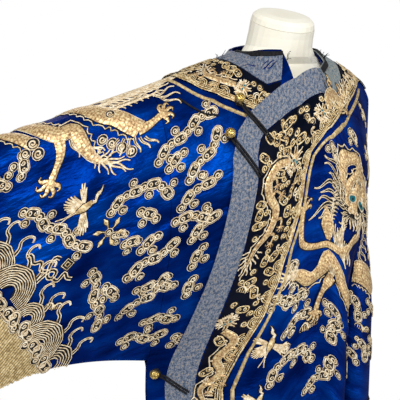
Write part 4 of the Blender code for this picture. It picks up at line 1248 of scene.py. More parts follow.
def lock(work, root, angle, length, wide, sway, look="cream"):
    """A wavy lock of mane or flame: a dark tapering shape between two pale lines that meet at its tip."""
    t = np.linspace(0, 1, max(7, int(length / 0.0030)))
    wave = sway * length * np.sin(2 * math.pi * 0.95 * t) * (0.4 + 0.6 * t)
    line = turned_by(np.stack([length * t, wave], -1), angle, root)
    width = wide * np.clip((1 - t) ** 0.7, 0.10, 1)
    work.line("ink", line, width + 0.0024, 0.0009, columns=2)
    along = unit(np.gradient(line, axis=0))
    aside = np.stack([-along[:, 1], along[:, 0]], -1)
    for side in (-1, 1):
        work.line(look, line + aside * (side * width / 2)[:, None], 0.0013, 0.0017, 0.0009)
    work.take(line[::3], 0.002)


def taper(work, points, widths, look="scales", high=0.0024, columns=5, spacing=0.004):
    """A filled raised limb along control points, on a dark outline."""
    line = spaced(points, spacing)
    share = np.linspace(0, 1, len(line))
    width = np.interp(share, np.linspace(0, 1, len(widths)), widths)
    work.line("ink", line, width + 0.0026, 0.0011, columns=2)
    work.line(look, line, width, high, 0.0012, columns)
    for place, wide in zip(line, width):
        work.take([place], wide / 2)
    return line, width


def dragon_body(work, spine, wide, side=1, tail=True):
    """A scaled body that tapers to its tail, with a spined line along its back."""
    shares = (0.80, 1.0, 1.05, 1.0, 0.92, 0.75, 0.5, 0.16) if tail else (0.9, 1.0, 1.0, 0.95, 0.9)
    high = 0.0034 if wide > 0.015 else 0.0024
    line, width = taper(work, spine, [wide * share for share in shares], high=high, columns=9, spacing=0.0045)
    along = unit(np.gradient(line, axis=0))
    aside = np.stack([-along[:, 1], along[:, 0]], -1) * side
    spike = 0.0038 * min(1.0, wide / 0.02) * (np.arange(len(line)) % 3 == 0)
    back = line + aside * (width / 2 + 0.0030 + spike)[:, None]
    work.line("ink", back, 0.0034, 0.0008, columns=2)
    work.line("cream", back, 0.0014, 0.0018, 0.0008)
    work.line("cream", line - aside * (width / 2 + 0.0008)[:, None], 0.0010, 0.0018, 0.0010)
    heading = math.atan2(along[-1][1], along[-1][0])
    if tail:
        for step in range(-5, 6):
            sway = 0.08 if step % 2 else -0.08
            root = line[-1 - abs(step)] + aside[-1] * 0.0012 * step * side
            lock(work, root, heading + 0.25 * step * side, wide * (1.65 - 0.16 * abs(step)), wide * 0.07, sway)
    return line


def claw_foot(work, points, wide, reach, flames=3):
    """A leg in scales that ends in five hooked claws."""
    line, width = taper(work, points, [wide, wide * 0.9, wide * 0.68, wide * 0.56, wide * 0.66])
    along = line[-1] - line[-2]
    heading = math.atan2(along[1], along[0])
    for step in range(5):
        size = reach * (0.86 if step in (0, 4) else 1.0)
        toe = [(0.0, 0.0), (0.38, 0.03), (0.74, 0.0), (0.97, 0.18), (0.84, 0.38)]
        path = turned_by(toe, heading + (step - 2) * 0.68, line[-1], size)
        taper(work, path, [wide * 0.42, wide * 0.32, wide * 0.34, wide * 0.20, 0.0010], columns=3, spacing=0.0022)
    for step in range(flames):
        lock(work, line[0], heading + 2.2 + 0.42 * step, reach * 1.1, wide * 0.20, 0.12)


def dragon_head(work, centre, angle, size, mane=0.85):
    """A dragon's face seen from the front: muzzle, brows, eyes, horns, whiskers and mane."""
    def at(x, y):
        return turned_by([(x, y)], angle, centre, size)[0]

    for side in (-1, 1):
        for step in range(8):
            way = angle - math.pi / 2 + side * (0.40 + 0.34 * step)
            root = at(0.42 * side * min(1, step / 3), -0.25 + 0.10 * step)
            sway = 0.10 * side * (1 if step % 2 else -1)
            lock(work, root, way, size * mane * (1.15 - 0.05 * step), size * 0.11, sway)
    work.patch("ink", turned_by(oval(0.10, 0.62, 22), angle + math.pi / 2, centre, size), 0.0012)
    muzzle = [at(0, -0.55), at(0, -0.25), at(0, 0.10), at(0, 0.48)]
    taper(work, muzzle, [0.56 * size, 0.70 * size, 0.46 * size, 0.64 * size], high=0.0036, columns=9)
    for side in (-1, 1):
        horn = [at(0.16 * side, -0.42), at(0.26 * side, -0.75), at(0.46 * side, -1.00), at(0.46 * side, -1.22)]
        taper(work, horn, [0.17 * size, 0.13 * size, 0.10 * size, 0.03 * size], "gold", 0.0028)
        brow = [at(0.04 * side, -0.12), at(0.26 * side, -0.30), at(0.52 * side, -0.16)]
        taper(work, brow, [0.08 * size, 0.15 * size, 0.05 * size], "cream", 0.0042, 3)
        eye = at(0.29 * side, 0.02)
        work.patch("cream", turned_by(oval(0.08, 0.15, 16), angle + 0.2 * side, eye, size), 0.0038)
        work.patch("teal", turned_by(oval(0.06, 0.11, 14), angle + 0.2 * side, eye, size), 0.0042)
        work.patch("ink", turned_by(oval(0.0, 0.05, 10), angle, eye, size), 0.0046)
        nostril = turned_by(spiral(0.15, 1.2, 0.0, side, 16), angle, at(0.20 * side, 0.46), size)
        work.line("cream", nostril, 0.05 * size, 0.0046, 0.0034)
        whisker = [at(0.24 * side, 0.50), at(0.62 * side, 0.62), at(0.85 * side, 0.25), at(1.15 * side, 0.20)]
        whisker = spaced(whisker, 0.0028)
        work.line("ink", whisker, 0.0036, 0.0012, columns=2)
        work.line("cream", whisker, 0.0017, 0.0026, 0.0014)
    for step in (-2, -1, 0, 1, 2):
        lock(work, at(0.12 * step, 0.62), angle + math.pi / 2 - 0.30 * step, size * 0.42, size * 0.07, 0.10)


def feathers(work, root, angle, spread, length, count):
    """A fan of long feathers from one root."""
    for step in range(count):
        share = step / (count - 1) - 0.5
        lock(work, root, angle + spread * share, length * (1 - 0.9 * share * share), length * 0.09, 0.03)


def crane(work, centre, angle, size):
    """A flying crane: curved neck, three fans of feathers, and trailing legs."""
    def at(x, y):
        return turned_by([(x, y)], angle, centre, size)[0]

    for way, spread, reach, count in ((-2.35, 0.95, 0.62, 8), (-1.25, 0.35, 0.66, 4), (1.95, 0.50, 0.80, 6)):
        feathers(work, at(-0.05, 0.06 * math.sin(way)), angle + way, spread, size * reach, count)
    feathers(work, at(-0.20, 0.0), angle + math.pi + 0.5, 0.6, size * 0.34, 4)
    work.level += 0.0012
    body = [at(-0.30, 0.02), at(-0.08, 0.02), at(0.20, 0.0)]
    taper(work, body, [0.08 * size, 0.24 * size, 0.13 * size], "gold", 0.0026)
    neck = [at(0.20, 0.0), at(0.30, 0.03), at(0.35, -0.09), at(0.46, -0.14)]
    taper(work, neck, [0.12 * size, 0.08 * size, 0.08 * size, 0.12 * size], "cream", columns=3)
    beak = [at(0.46, -0.14), at(0.54, -0.18), at(0.62, -0.28)]
    taper(work, beak, [0.08 * size, 0.04 * size, 0.015 * size], "cream", columns=3)
    for side in (-1, 1):
        leg = spaced([at(-0.28, 0.03 * side), at(-0.58, 0.02 * side), at(-0.86, 0.10 * side)], 0.003)
        work.line("cream", leg, 0.0015, 0.0015)
    work.level -= 0.0012


def bat(work, centre, angle, size):
    """A bat with curled wings."""
    for side in (-1, 1):
        wing = [(0.0, 0.10), (0.25 * side, -0.35), (0.62 * side, -0.42), (0.95 * side, -0.10), (0.78 * side, 0.12)]
        taper(work, turned_by(wing, angle, centre, size),
              [0.20 * size, 0.16 * size, 0.14 * size, 0.10 * size, 0.04 * size], "cream", columns=3)
        for step in range(3):
            rib = [((0.18 + 0.22 * step) * side, -0.28), ((0.22 + 0.20 * step) * side, 0.22 - 0.05 * step)]
            work.line("gold", turned_by(rib, angle, centre, size), 0.0015, 0.0015)
    body = turned_by([(0, -0.28), (0, 0.0), (0, 0.34)], angle, centre, size)
    taper(work, body, [0.14 * size, 0.24 * size, 0.05 * size], "gold")


def spray(work, centre, angle, size):
    """A knot of curls with pointed leaves round it."""
    for step in range(6):
        way = angle + step * 1.05
        leaf = [(0.18, 0.0), (0.42, 0.04), (0.66, 0.0), (0.90, -0.05)]
        taper(work, turned_by(leaf, way, centre, size),
              [0.05 * size, 0.08 * size, 0.24 * size, 0.02 * size], "gold", columns=3, spacing=0.003)
    curl(work, centre, angle, 0.8)
    cloud(work, [centre + np.array([0.30, 0.25]) * size, centre + np.array([0.85, 0.55]) * size], 0.75)


def tied_ribbon(work, centre, angle, size):
    """A small square jewel tied with a looping ribbon."""
    square = np.array([(-0.26, 0), (0, -0.26), (0.26, 0), (0, 0.26), (-0.26, 0)])
    place = turned_by([(0.66, -0.45)], angle + 0.6, centre, size)[0]
    work.patch("ink", turned_by(square[:4] * 1.30, angle, place, size), 0.0010)
    work.line("cream", turned_by(square, angle, place, size), 0.0018, 0.0018)
    work.line("gold", turned_by(square * 0.45, angle, place, size), 0.0026, 0.0018)
    loops = (
        [(0.48, -0.34), (0.25, -0.45), (0.05, -0.10), (0.0, 0.30), (0.22, 0.42), (0.35, 0.18), (0.10, 0.05),
         (-0.25, 0.25), (-0.50, 0.45)],
        [(0.0, 0.05), (-0.30, -0.10), (-0.30, -0.45), (-0.62, -0.50), (-0.70, -0.85), (-0.92, -0.90)],
        [(0.20, 0.40), (0.45, 0.62), (0.72, 0.35), (0.85, 0.62), (1.05, 0.72)],
    )
    for loop in loops:
        line = spaced(turned_by(loop, angle, centre, size), 0.003)
        ribbon(work, line, 0.0040)


def ribbon(work, line, width):
    """A dark ribbon between two pale lines; width is one number or one for each point."""
    work.line("ink", line, width + 0.0012, 0.0009, columns=2)
    along = unit(np.gradient(line, axis=0))
    aside = np.stack([-along[:, 1], along[:, 0]], -1) * np.broadcast_to(width, (len(line),))[:, None] / 2
    for side in (-1, 1):
        work.line("cream", line + aside * side, 0.0014, 0.0017, 0.0009)
    work.take(line[::3], 0.003)


def scallop(work, centre, radius, start, sweep, rings, level=0.0, look="cream", width=0.0014):
    """Concentric wave arcs on a dark ground."""
    angle = np.linspace(start, start + sweep, 15)
    rim = np.stack([np.cos(angle), np.sin(angle)], -1)
    ground = np.concatenate([rim * (radius + 0.0016), rim[::-1] * radius * 0.30]) + centre
    work.patch("ink", ground, 0.0008 + level)
    for ring in range(rings):
        share = 1 - 0.66 * ring / max(1, rings - 1)
        wobble = 1 + 0.02 * np.sin(9 * angle + ring)
        work.line(look, centre + rim * (radius * share * wobble)[:, None], width, 0.0019 + level, 0.0010 + level)
    work.take([centre + rim[7] * radius * 0.5], radius * 0.55)


def foam(work, root, angle, size):
    """A curling finger of spray over a wave."""
    path = [(0.0, 0.0), (0.35, -0.10), (0.60, -0.35), (0.95, -0.30), (1.15, -0.02), (0.98, 0.16)]
    line = spaced(turned_by(path, angle, root, size), 0.0025)
    ribbon(work, line, 0.0044 * (1 - 0.7 * np.linspace(0, 1, len(line))))


def stripes(work, corner, count, slant, reach, inside):
    """Slanting lines of laid gold thread below a corner, kept where they are inside the cloth."""
    for step in range(count):
        path = np.array(corner) + (0.0, 0.0062 * step) + np.outer(np.linspace(0, reach, 170), slant)
        path = path[inside(path[:, 0], path[:, 1])]
        if len(path) > 3:
            work.line("ink", path, 0.0048, 0.0005, columns=2)
            work.line("tan", path, 0.0037, 0.0014, 0.0006)


# Clouds on the right front and the drawn-out sleeve, as flat places that each runs through
RIGHT_CLOUDS = (
    ((-0.252, 0.134), (-0.214, 0.112), (-0.168, 0.098)), ((-0.238, 0.148), (-0.214, 0.138)),
    ((-0.212, 0.174), (-0.185, 0.152), (-0.164, 0.132)), ((-0.224, 0.209), (-0.200, 0.194), (-0.174, 0.182)),
    ((-0.230, 0.226), (-0.192, 0.234)), ((-0.319, 0.178), (-0.274, 0.160), (-0.240, 0.180)),
    ((-0.276, 0.194), (-0.260, 0.214)), ((-0.430, 0.130), (-0.391, 0.172), (-0.356, 0.214)),
    ((-0.340, 0.256), (-0.334, 0.300), (-0.326, 0.348)), ((-0.318, 0.290), (-0.309, 0.314)),
    ((-0.293, 0.284), (-0.262, 0.270), (-0.233, 0.262)), ((-0.278, 0.250), (-0.254, 0.242)),
    ((-0.296, 0.352), (-0.268, 0.334), (-0.240, 0.314)), ((-0.276, 0.312), (-0.224, 0.326)),
    ((-0.258, 0.374), (-0.212, 0.388)), ((-0.287, 0.396), (-0.230, 0.414)), ((-0.208, 0.262), (-0.180, 0.240)),
    ((-0.204, 0.306), (-0.188, 0.284)), ((-0.206, 0.352), (-0.196, 0.330)), ((-0.426, 0.056), (-0.434, 0.082)),
    ((-0.452, 0.090), (-0.470, 0.062)), ((-0.204, 0.424), (-0.196, 0.444)), ((-0.300, 0.230), (-0.284, 0.238)),
)

# Wave crests across the sleeve's end: place, radius; and where its stripes start: x, down
CRESTS = (
    (-0.650, 0.040, 0.036), (-0.600, 0.076, 0.036), (-0.552, 0.112, 0.036), (-0.512, 0.150, 0.036),
    (-0.480, 0.190, 0.036), (-0.456, 0.236, 0.038), (-0.428, 0.290, 0.024), (-0.414, 0.340, 0.038),
    (-0.388, 0.386, 0.030),
)
STRIPE_TOP = (
    (-0.700, 0.060), (-0.620, 0.110), (-0.560, 0.152), (-0.510, 0.196), (-0.478, 0.232), (-0.460, 0.262),
    (-0.438, 0.296), (-0.422, 0.332), (-0.406, 0.366), (-0.390, 0.420),
)


def on_sleeve(x, down, margin):
    """Whether a flat place of the drawn-out side lies above its lower edge."""
    return (x < -SIDE) & (down < right_down(np.abs(x), underarm_z(np.abs(x))) - margin) & (x > 0.001 - CUFF)


def sleeve_end(work):
    """Waves, spray and slanting stripes at the drawn-out sleeve's end."""
    table = np.array(STRIPE_TOP)

    def striped(x, down):
        return on_sleeve(x, down, 0.004) & (down > np.interp(x, table[:, 0], table[:, 1]))

    stripes(work, (-CUFF, 0.06), 112, (0.71, -0.71), 0.50, striped)
    for index, (x, down, radius) in enumerate(CRESTS):
        scallop(work, np.array([x, down]), radius, -2.1, 3.2, 9 if radius > 0.03 else 6, 0.0016 * (index % 2))
    for index, (x, down, radius) in enumerate(CRESTS):
        for turn in (-0.7, -0.1):
            root = np.array([x, down]) + radius * np.array([math.cos(turn), math.sin(turn)])
            foam(work, root, turn - 0.35, 0.026)
    line = spaced(STRIPE_TOP, 0.0125)
    work.level = 0.0026
    for index, place in enumerate(line):
        if index % 3 == 1:
            curl(work, place + np.array([-0.004, 0.002]), 0.5 * index, 1.05)
        else:
            pair(work, place + np.array([0.003, -0.001]), 1.1 + 0.7 * (index % 2), 1.1)
    work.level = 0.0


def make_right_embroidery():
    """Clouds, the sleeve dragon, a crane and the sleeve end's waves, on the right side."""
    work = Stitches("embroidery_right", over_shoulder, no_lift)
    for step in range(11):
        lock(work, (-0.334 + 0.0085 * step, 0.030), 0.62 - 0.03 * step, 0.032, 0.0030, 0.15)
        lock(work, (-0.320 + 0.0085 * step, 0.021), 0.30 - 0.03 * step, 0.030, 0.0030, -0.15)
    for step in range(13):
        lock(work, (-0.324 + 0.0100 * step, 0.012), 0.22 - 0.02 * step, 0.031, 0.0030, 0.15)
        lock(work, (-0.318 + 0.0100 * step, 0.003), 0.12 - 0.02 * step, 0.030, 0.0030, -0.15)
    for step in range(4):
        lock(work, (-0.242 + 0.004 * step, 0.036 + 0.003 * step), -0.45 + 0.42 * step, 0.036, 0.0028, 0.16)
    for step in range(4):
        curl(work, (-0.322 + 0.012 * step, 0.078 + 0.010 * step), 0.9 * step, 1.1)
    for step in range(6):
        lock(work, (-0.300 + 0.007 * step, 0.086 + 0.002 * step), 2.4 - 0.34 * step, 0.022, 0.0030, 0.10)
        lock(work, (-0.364 + 0.004 * step, 0.060 + 0.003 * step), 1.3 - 0.12 * step, 0.030, 0.0028, 0.12)
    dragon_body(work, [(-0.412, -0.020), (-0.404, 0.012), (-0.378, 0.045), (-0.358, 0.046), (-0.348, 0.074),
                       (-0.337, 0.096), (-0.318, 0.110)], 0.023, -1)
    dragon_body(work, [(-0.452, -0.015), (-0.440, 0.008), (-0.426, 0.028), (-0.412, 0.048)], 0.018, 1, tail=False)
    dragon_body(work, [(-0.345, -0.020), (-0.330, 0.010), (-0.314, 0.040), (-0.298, 0.054), (-0.284, 0.070),
                       (-0.270, 0.084)], 0.026, 1, tail=False)
    claw_foot(work, [(-0.378, 0.050), (-0.379, 0.074), (-0.386, 0.092), (-0.394, 0.106)], 0.015, 0.020)
    claw_foot(work, [(-0.272, 0.084), (-0.257, 0.082), (-0.246, 0.078), (-0.236, 0.074)], 0.015, 0.018, 0)
    work.level = 0.0030
    for place, size in (((-0.304, 0.046), 1.0), ((-0.412, 0.046), 1.3), ((-0.408, 0.062), 1.2), ((-0.424, 0.056), 1.0)):
        curl(work, np.array(place), 0.6, size)
    work.level = 0.0
    dragon_body(work, [(-0.412, -0.018), (-0.412, -0.046), (-0.380, -0.064), (-0.350, -0.046), (-0.345, -0.018)],
                0.024, 1, tail=False)
    dragon_body(work, [(-0.451, -0.013), (-0.462, -0.036), (-0.456, -0.062), (-0.430, -0.078), (-0.436, -0.110)],
                0.018, -1)
    dragon_head(work, (-0.262, -0.080), 0.2, 0.040)
    dragon_body(work, [(-0.300, -0.086), (-0.345, -0.094), (-0.384, -0.112), (-0.366, -0.148), (-0.324, -0.156),
                       (-0.290, -0.186)], 0.024, 1)
    crane(work, np.array([-0.352, 0.156]), -0.25, 0.046)
    spray(work, np.array([-0.322, 0.206]), 0.3, 0.024)
    tied_ribbon(work, np.array([-0.402, 0.226]), 0.1, 0.032)
    bat(work, np.array([-0.392, 0.288]), 0.5, 0.014)
    for points in RIGHT_CLOUDS:
        cloud(work, points)
    sleeve_end(work)
    work.finish()


# Clouds on the outer front, as flat places that each runs through
LEFT_CLOUDS = (
    ((-0.094, 0.404), (-0.060, 0.426), (-0.034, 0.448)), 
    ((-0.066, 0.470), (-0.030, 0.474)), ((0.008, 0.470), (0.026, 0.486), (0.014, 0.520)),
    ((-0.090, 0.540), (-0.066, 0.512), (-0.040, 0.530), (-0.016, 0.556)), 
    ((-0.030, 0.600), (0.002, 0.590), (0.022, 0.556)), ((-0.080, 0.580), (-0.068, 0.610)),
    ((0.052, 0.560), (0.070, 0.520)), ((0.062, 0.470), (0.080, 0.448)), ((0.014, 0.226), (0.016, 0.240)),
    ((0.062, 0.170), (0.072, 0.186)), ((-0.060, 0.372), (-0.056, 0.390)),
)


def make_left_embroidery():
    """The chest dragon, clouds and the couched line beside the band, on the outer front."""
    work = Stitches("embroidery_left", front_face, overlap_lift)
    line = band_line(0.008)
    place, way = edge_line(0, 99, 0.008)
    away = unit(line - place)
    work.line("tan", (line + away * 0.0110)[4:], 0.0048, 0.0026, columns=5)
    work.take((line + away * 0.0110)[4:], 0.004)
    for step in range(8):
        reach = 0.036 + 0.012 * math.sin(2.3 * step + 0.6)
        lock(work, (0.038 - 0.004 * step, 0.252 + 0.0105 * step), 3.38 - 0.10 * step, reach, 0.0062,
             0.17 * math.cos(1.9 * step))
    for step in range(11):
        reach = 0.028 + 0.006 * math.sin(3.1 * step)
        lock(work, (0.044 - 0.003 * step, 0.258 + 0.0080 * step), 3.0 - 0.11 * step, reach, 0.0048, 0.15)
        lock(work, (0.050 - 0.003 * step, 0.300 + 0.006 * step), 2.3 - 0.14 * step, 0.036, 0.005, 0.12)
    for step in range(7):
        lock(work, (0.000 + 0.009 * step, 0.334 + 0.002 * step), 1.2 + 0.06 * step, 0.034, 0.005, 0.12)
    dragon_body(work, [(0.034, 0.262), (0.034, 0.226), (0.050, 0.210), (0.072, 0.214), (0.078, 0.234)], 0.018, -1,
                tail=False)
    work.level = 0.0014
    dragon_body(work, [(0.046, 0.285), (0.050, 0.250), (0.074, 0.234), (0.093, 0.248), (0.096, 0.280)], 0.015, -1,
                tail=False)
    work.level = 0.0
    dragon_body(work, [(0.094, 0.440), (0.062, 0.440), (0.040, 0.424), (0.030, 0.408), (0.010, 0.400), (-0.004, 0.420),
                       (-0.026, 0.426), (-0.046, 0.404), (-0.066, 0.384)], 0.024, -1)
    claw_foot(work, [(0.086, 0.330), (0.055, 0.350), (0.020, 0.376), (-0.016, 0.380), (-0.040, 0.362),
                     (-0.043, 0.336), (-0.040, 0.312)], 0.014, 0.018, 0)
    taper(work, [(0.002, 0.322), (0.006, 0.350), (0.008, 0.372)], [0.006, 0.026, 0.008])
    work.level = 0.0014
    claw_foot(work, [(0.016, 0.424), (0.004, 0.446), (-0.008, 0.466), (-0.014, 0.482)], 0.014, 0.017)
    dragon_head(work, (0.068, 0.276), 0.41, 0.046)
    work.level = 0.0
    crane(work, np.array([-0.088, 0.474]), -1.2, 0.042)
    bat(work, np.array([-0.026, 0.500]), 0.2, 0.018)
    crane(work, np.array([-0.104, 0.560]), -1.1, 0.038)
    for points in LEFT_CLOUDS:
        cloud(work, points)
    field(work, np.arange(-0.10, 0.09, 0.062), np.arange(0.66, 1.10, 0.058), lambda x, down: -0.13 < x < 0.085)
    hem_waves(work, (-0.128, 0.090), 1.145, lambda x, down: body_down(x, HEM + 0.004))
    work.finish()


def hem_waves(work, span, top, low):
    """Slanting stripes with wave crests over them, along the hem between two sides."""
    def striped(x, down):
        return (down > top) & (down < low(x, down)) & (x > span[0]) & (x < span[1])

    stripes(work, (span[0] - 0.2, top), 140, (0.71, -0.71), 0.8, striped)
    for index, x in enumerate(np.arange(span[0] + 0.022, span[1] - 0.016, 0.036)):
        scallop(work, np.array([x, top + 0.010]), 0.024, -3.1, 3.06, 5, 0.0013 * (index % 2))


def band_base(x):
    """The black band's outer face on the overlap."""
    return band_lift(x) + LAYER_GAP + TRIM_WALL


def between(inside, outside, spacing):
    """Places spread over a band between its two lines, row by row."""
    places = []
    for one, two in zip(inside, outside):
        count = max(2, int(np.linalg.norm(two - one) / spacing))
        for share in (np.arange(count) + 0.5) / count:
            places.append(one * (1 - share) + two * share)
    return places


def wave_border(work, line, inward, spacing=0.021):
    """Rocks and waves along a band's outer edge: running lines with scallops on them."""
    for step, (away, width) in enumerate(((0.0016, 0.0022), (0.0044, 0.0015), (0.0068, 0.0015), (0.0092, 0.0012))):
        wobble = 0.0006 * np.sin(np.arange(len(line)) * 0.9 + step)
        work.line("gold", line + inward * (away + wobble)[:, None], width, 0.0014)
    length = np.concatenate([[0], np.cumsum(np.linalg.norm(np.diff(line, axis=0), axis=1))])
    for number, at in enumerate(np.arange(0.012, length[-1] - 0.01, spacing)):
        index = int(np.searchsorted(length, at))
        facing = math.atan2(inward[index][1], inward[index][0])
        scallop(work, line[index] + inward[index] * 0.009, 0.0088, facing - 1.5, 3.0, 3, look="gold")
        if number % 3 == 0:
            foam(work, line[index] + inward[index] * 0.014, facing + 0.4, 0.010)


def small_dragon(work, spine, wide, head, angle, sides=(1, -1, 1, -1)):
    """A small band dragon with four short legs, each on one side of its body."""
    line = dragon_body(work, spine, wide, 1)
    work.take(line[::2], wide / 2 + 0.0040)
    for share, side in zip((0.28, 0.42, 0.62, 0.74), sides):
        index = int(share * (len(line) - 1))
        along = unit(line[index + 1] - line[index])
        aside = np.array([-along[1], along[0]]) * side
        knee = line[index] + aside * wide * 1.15 - along * wide * 0.4
        foot = knee + aside * wide * 0.4 + along * wide * 1.0
        claw_foot(work, [line[index], knee, foot], wide * 0.5, wide * 0.80, 1)
    dragon_head(work, head, angle, wide * 1.25)


def make_band_embroidery():
    """Small dragons, clouds and bats on the black bands, and their wave borders."""
    work = Stitches("embroidery_band", front_face, band_base)
    line = band_line(0.008)
    place, way = edge_line(0, 99, 0.008)
    inward = unit(place - line)
    inside = place + way * (TRIM_WIDTH + BAND_GAP)
    wave_border(work, line[2:], inward[2:])
    small_dragon(work, [(-0.070, 0.206), (-0.090, 0.205), (-0.106, 0.222), (-0.102, 0.246), (-0.092, 0.268),
                        (-0.102, 0.294), (-0.122, 0.312), (-0.132, 0.336)], 0.0105, (-0.062, 0.214), 1.0,
                 (-1, -1, -1, -1))
    small_dragon(work, [(0.006, 0.180), (0.008, 0.160), (0.030, 0.136), (0.052, 0.126), (0.074, 0.098)], 0.0090,
                 (-0.008, 0.184), 1.0)
    small_dragon(work, [(-0.150, 0.430), (-0.136, 0.450), (-0.154, 0.474), (-0.150, 0.500), (-0.172, 0.520),
                        (-0.164, 0.550)], 0.0090, (-0.146, 0.416), 2.8, (-1, -1, -1, -1))
    small_dragon(work, [(0.112, 0.060), (0.128, 0.040), (0.140, 0.016)], 0.0075, (0.104, 0.072), 0.8)
    bat(work, np.array([-0.030, 0.186]), 0.9, 0.012)
    bat(work, np.array([-0.128, 0.372]), 0.3, 0.014)
    work.pale = "gold"
    work.halo = False
    inner, outer = inside + inward * -0.0045, line + inward * 0.0165
    fill(work, between(inner[3:], outer[3:], 0.0112), 0.96)
    work.finish()

    def right_base(x):
        return np.full(np.shape(x), SNUG_GAP + TRIM_WALL)

    work = Stitches("embroidery_yoke", front_face, right_base)
    end = math.acos(-RIGHT_EDGE / NECK_HALF)
    line = yoke_edge(40, end, 0.030)[:-3]
    inner = neck_ring(NECK_LINE, 0, end, 40, TRIM_WIDTH + BAND_GAP)[:-3]
    inward = unit(inner - line)
    wave_border(work, line, inward)
    small_dragon(work, [(-0.118, 0.078), (-0.136, 0.062), (-0.150, 0.040), (-0.142, 0.018)], 0.0090,
                 (-0.110, 0.088), 2.6)
    work.pale = "gold"
    work.halo = False
    fill(work, between(inner - inward * 0.0045, line + inward * 0.0165, 0.0112), 0.96)
    work.finish()
    blue = Stitches("embroidery_line", front_face, no_lift)
    blue.line("tan", line[2:] - inward[2:] * 0.0110, 0.0048, 0.0026, columns=5)
    blue.finish()


def make_back_embroidery():
    """Clouds and a dragon on the back, the yoke's border, the sleeve end's waves and the hem."""
    work = Stitches("embroidery_back", back_face, no_lift)
    edge = yoke_edge(60, math.pi, 0.0)
    inner = neck_ring(0.92 * NECK_LINE, 0, math.pi, 60, BACK_TRIM + BAND_GAP)
    inward = unit(inner - edge)
    couched = (edge - inward * 0.0110)[3:-3]
    work.line("tan", couched, 0.0048, 0.0026, columns=5)
    work.take(couched, 0.004)
    dragon_body(work, [(-0.020, 0.290), (-0.070, 0.250), (-0.125, 0.262), (-0.150, 0.310), (-0.110, 0.352),
                       (-0.050, 0.372), (-0.040, 0.430), (-0.090, 0.462), (-0.150, 0.450)], 0.032, 1)
    claw_foot(work, [(-0.140, 0.290), (-0.168, 0.270), (-0.186, 0.286)], 0.018, 0.022)
    claw_foot(work, [(-0.048, 0.372), (-0.010, 0.386), (0.024, 0.372)], 0.018, 0.022)
    claw_foot(work, [(-0.100, 0.460), (-0.104, 0.500), (-0.084, 0.524)], 0.016, 0.020)
    dragon_head(work, (-0.004, 0.296), 0.15, 0.050)
    crane(work, np.array([-0.280, 0.190]), -0.5, 0.042)
    crane(work, np.array([0.040, 0.520]), -1.9, 0.042)
    sleeve_end(work)

    def open_cloth(x, down):
        if x < -SIDE - 0.012:
            return bool(on_sleeve(x, down, 0.020)) and down > 0.190 and x > -0.44
        return math.hypot(x, down) > 0.225 and x < 0.080 and down < 1.11 and abs(x + SIDE) > 0.012

    field(work, np.arange(-0.43, 0.08, 0.074), np.arange(0.070, 1.10, 0.058), open_cloth)
    hem_waves(work, (-0.222, 0.090), 1.145, lambda x, down: body_down(x, HEM + 0.004))
    work.finish()

    def back_base(x):
        return np.full(np.shape(x), BACK_GAP + TRIM_WALL)

    work = Stitches("embroidery_yoke_back", back_face, back_base)
    wave_border(work, edge[1:-1], inward[1:-1])
    for side in (-1, 1):
        spine = [(0.040, 0.140), (0.070, 0.124), (0.098, 0.126), (0.120, 0.096), (0.138, 0.060)]
        small_dragon(work, [(side * x, down) for x, down in spine], 0.009, (side * 0.028, 0.144), -1.4 * side)
    work.pale = "gold"
    work.halo = False
    fill(work, between(inner - inward * 0.0045, edge + inward * 0.0165, 0.0112)[2:-2], 0.84)
    work.finish()


# Middles of the clouds down the hanging sleeve
HANGING_CLOUDS = (
    (0.132, 0.120), (0.158, 0.158), (0.124, 0.190), (0.150, 0.224), (0.170, 0.262), (0.122, 0.262), (0.146, 0.300),
    (0.168, 0.344), (0.124, 0.430), (0.160, 0.432), (0.140, 0.500), (0.168, 0.496), (0.120, 0.520),
)


def make_sleeve_left_embroidery():
    """Clouds, the rest of the chest dragon, and stripes at the cuff of the hanging sleeve."""
    for name, face in (("front", left_front), ("back", left_back)):
        work = Stitches("embroidery_sleeve_left_" + name, face, no_lift)
        if name == "front":
            dragon_body(work, [(0.105, 0.386), (0.125, 0.380), (0.148, 0.384), (0.168, 0.396)], 0.036, 1, tail=False)
            bat(work, np.array([0.140, 0.470]), 0.2, 0.016)
            for step in range(6):
                lock(work, (0.108, 0.300 + 0.010 * step), 0.1 + 0.12 * step, 0.034, 0.006, 0.14)
        for index, (x, down) in enumerate(HANGING_CLOUDS):
            cloud(work, [(x - 0.008, down - 0.012), (x + 0.008, down + 0.012 + 0.004 * (index % 3))], 0.95)

        def striped(x, down):
            return (x > 0.104) & (x < 0.180) & (down > left_down(x, 0.832)) & (down < left_down(x, 0.796))

        stripes(work, (0.0, 0.45), 60, (0.71, -0.71), 0.4, striped)
        work.finish()


def make_side_embroidery():
    """Clouds and the hem's stripes on the skirt's left side."""
    work = Stitches("embroidery_side", side_face, no_lift)
    field(work, np.arange(-0.15, 0.15, 0.062), np.arange(-0.70, -0.29, 0.058), lambda x, down: abs(x) < 0.155)
    hem_waves(work, (-0.172, 0.172), -0.262, lambda x, down: -HEM - 0.004)
    work.finish()


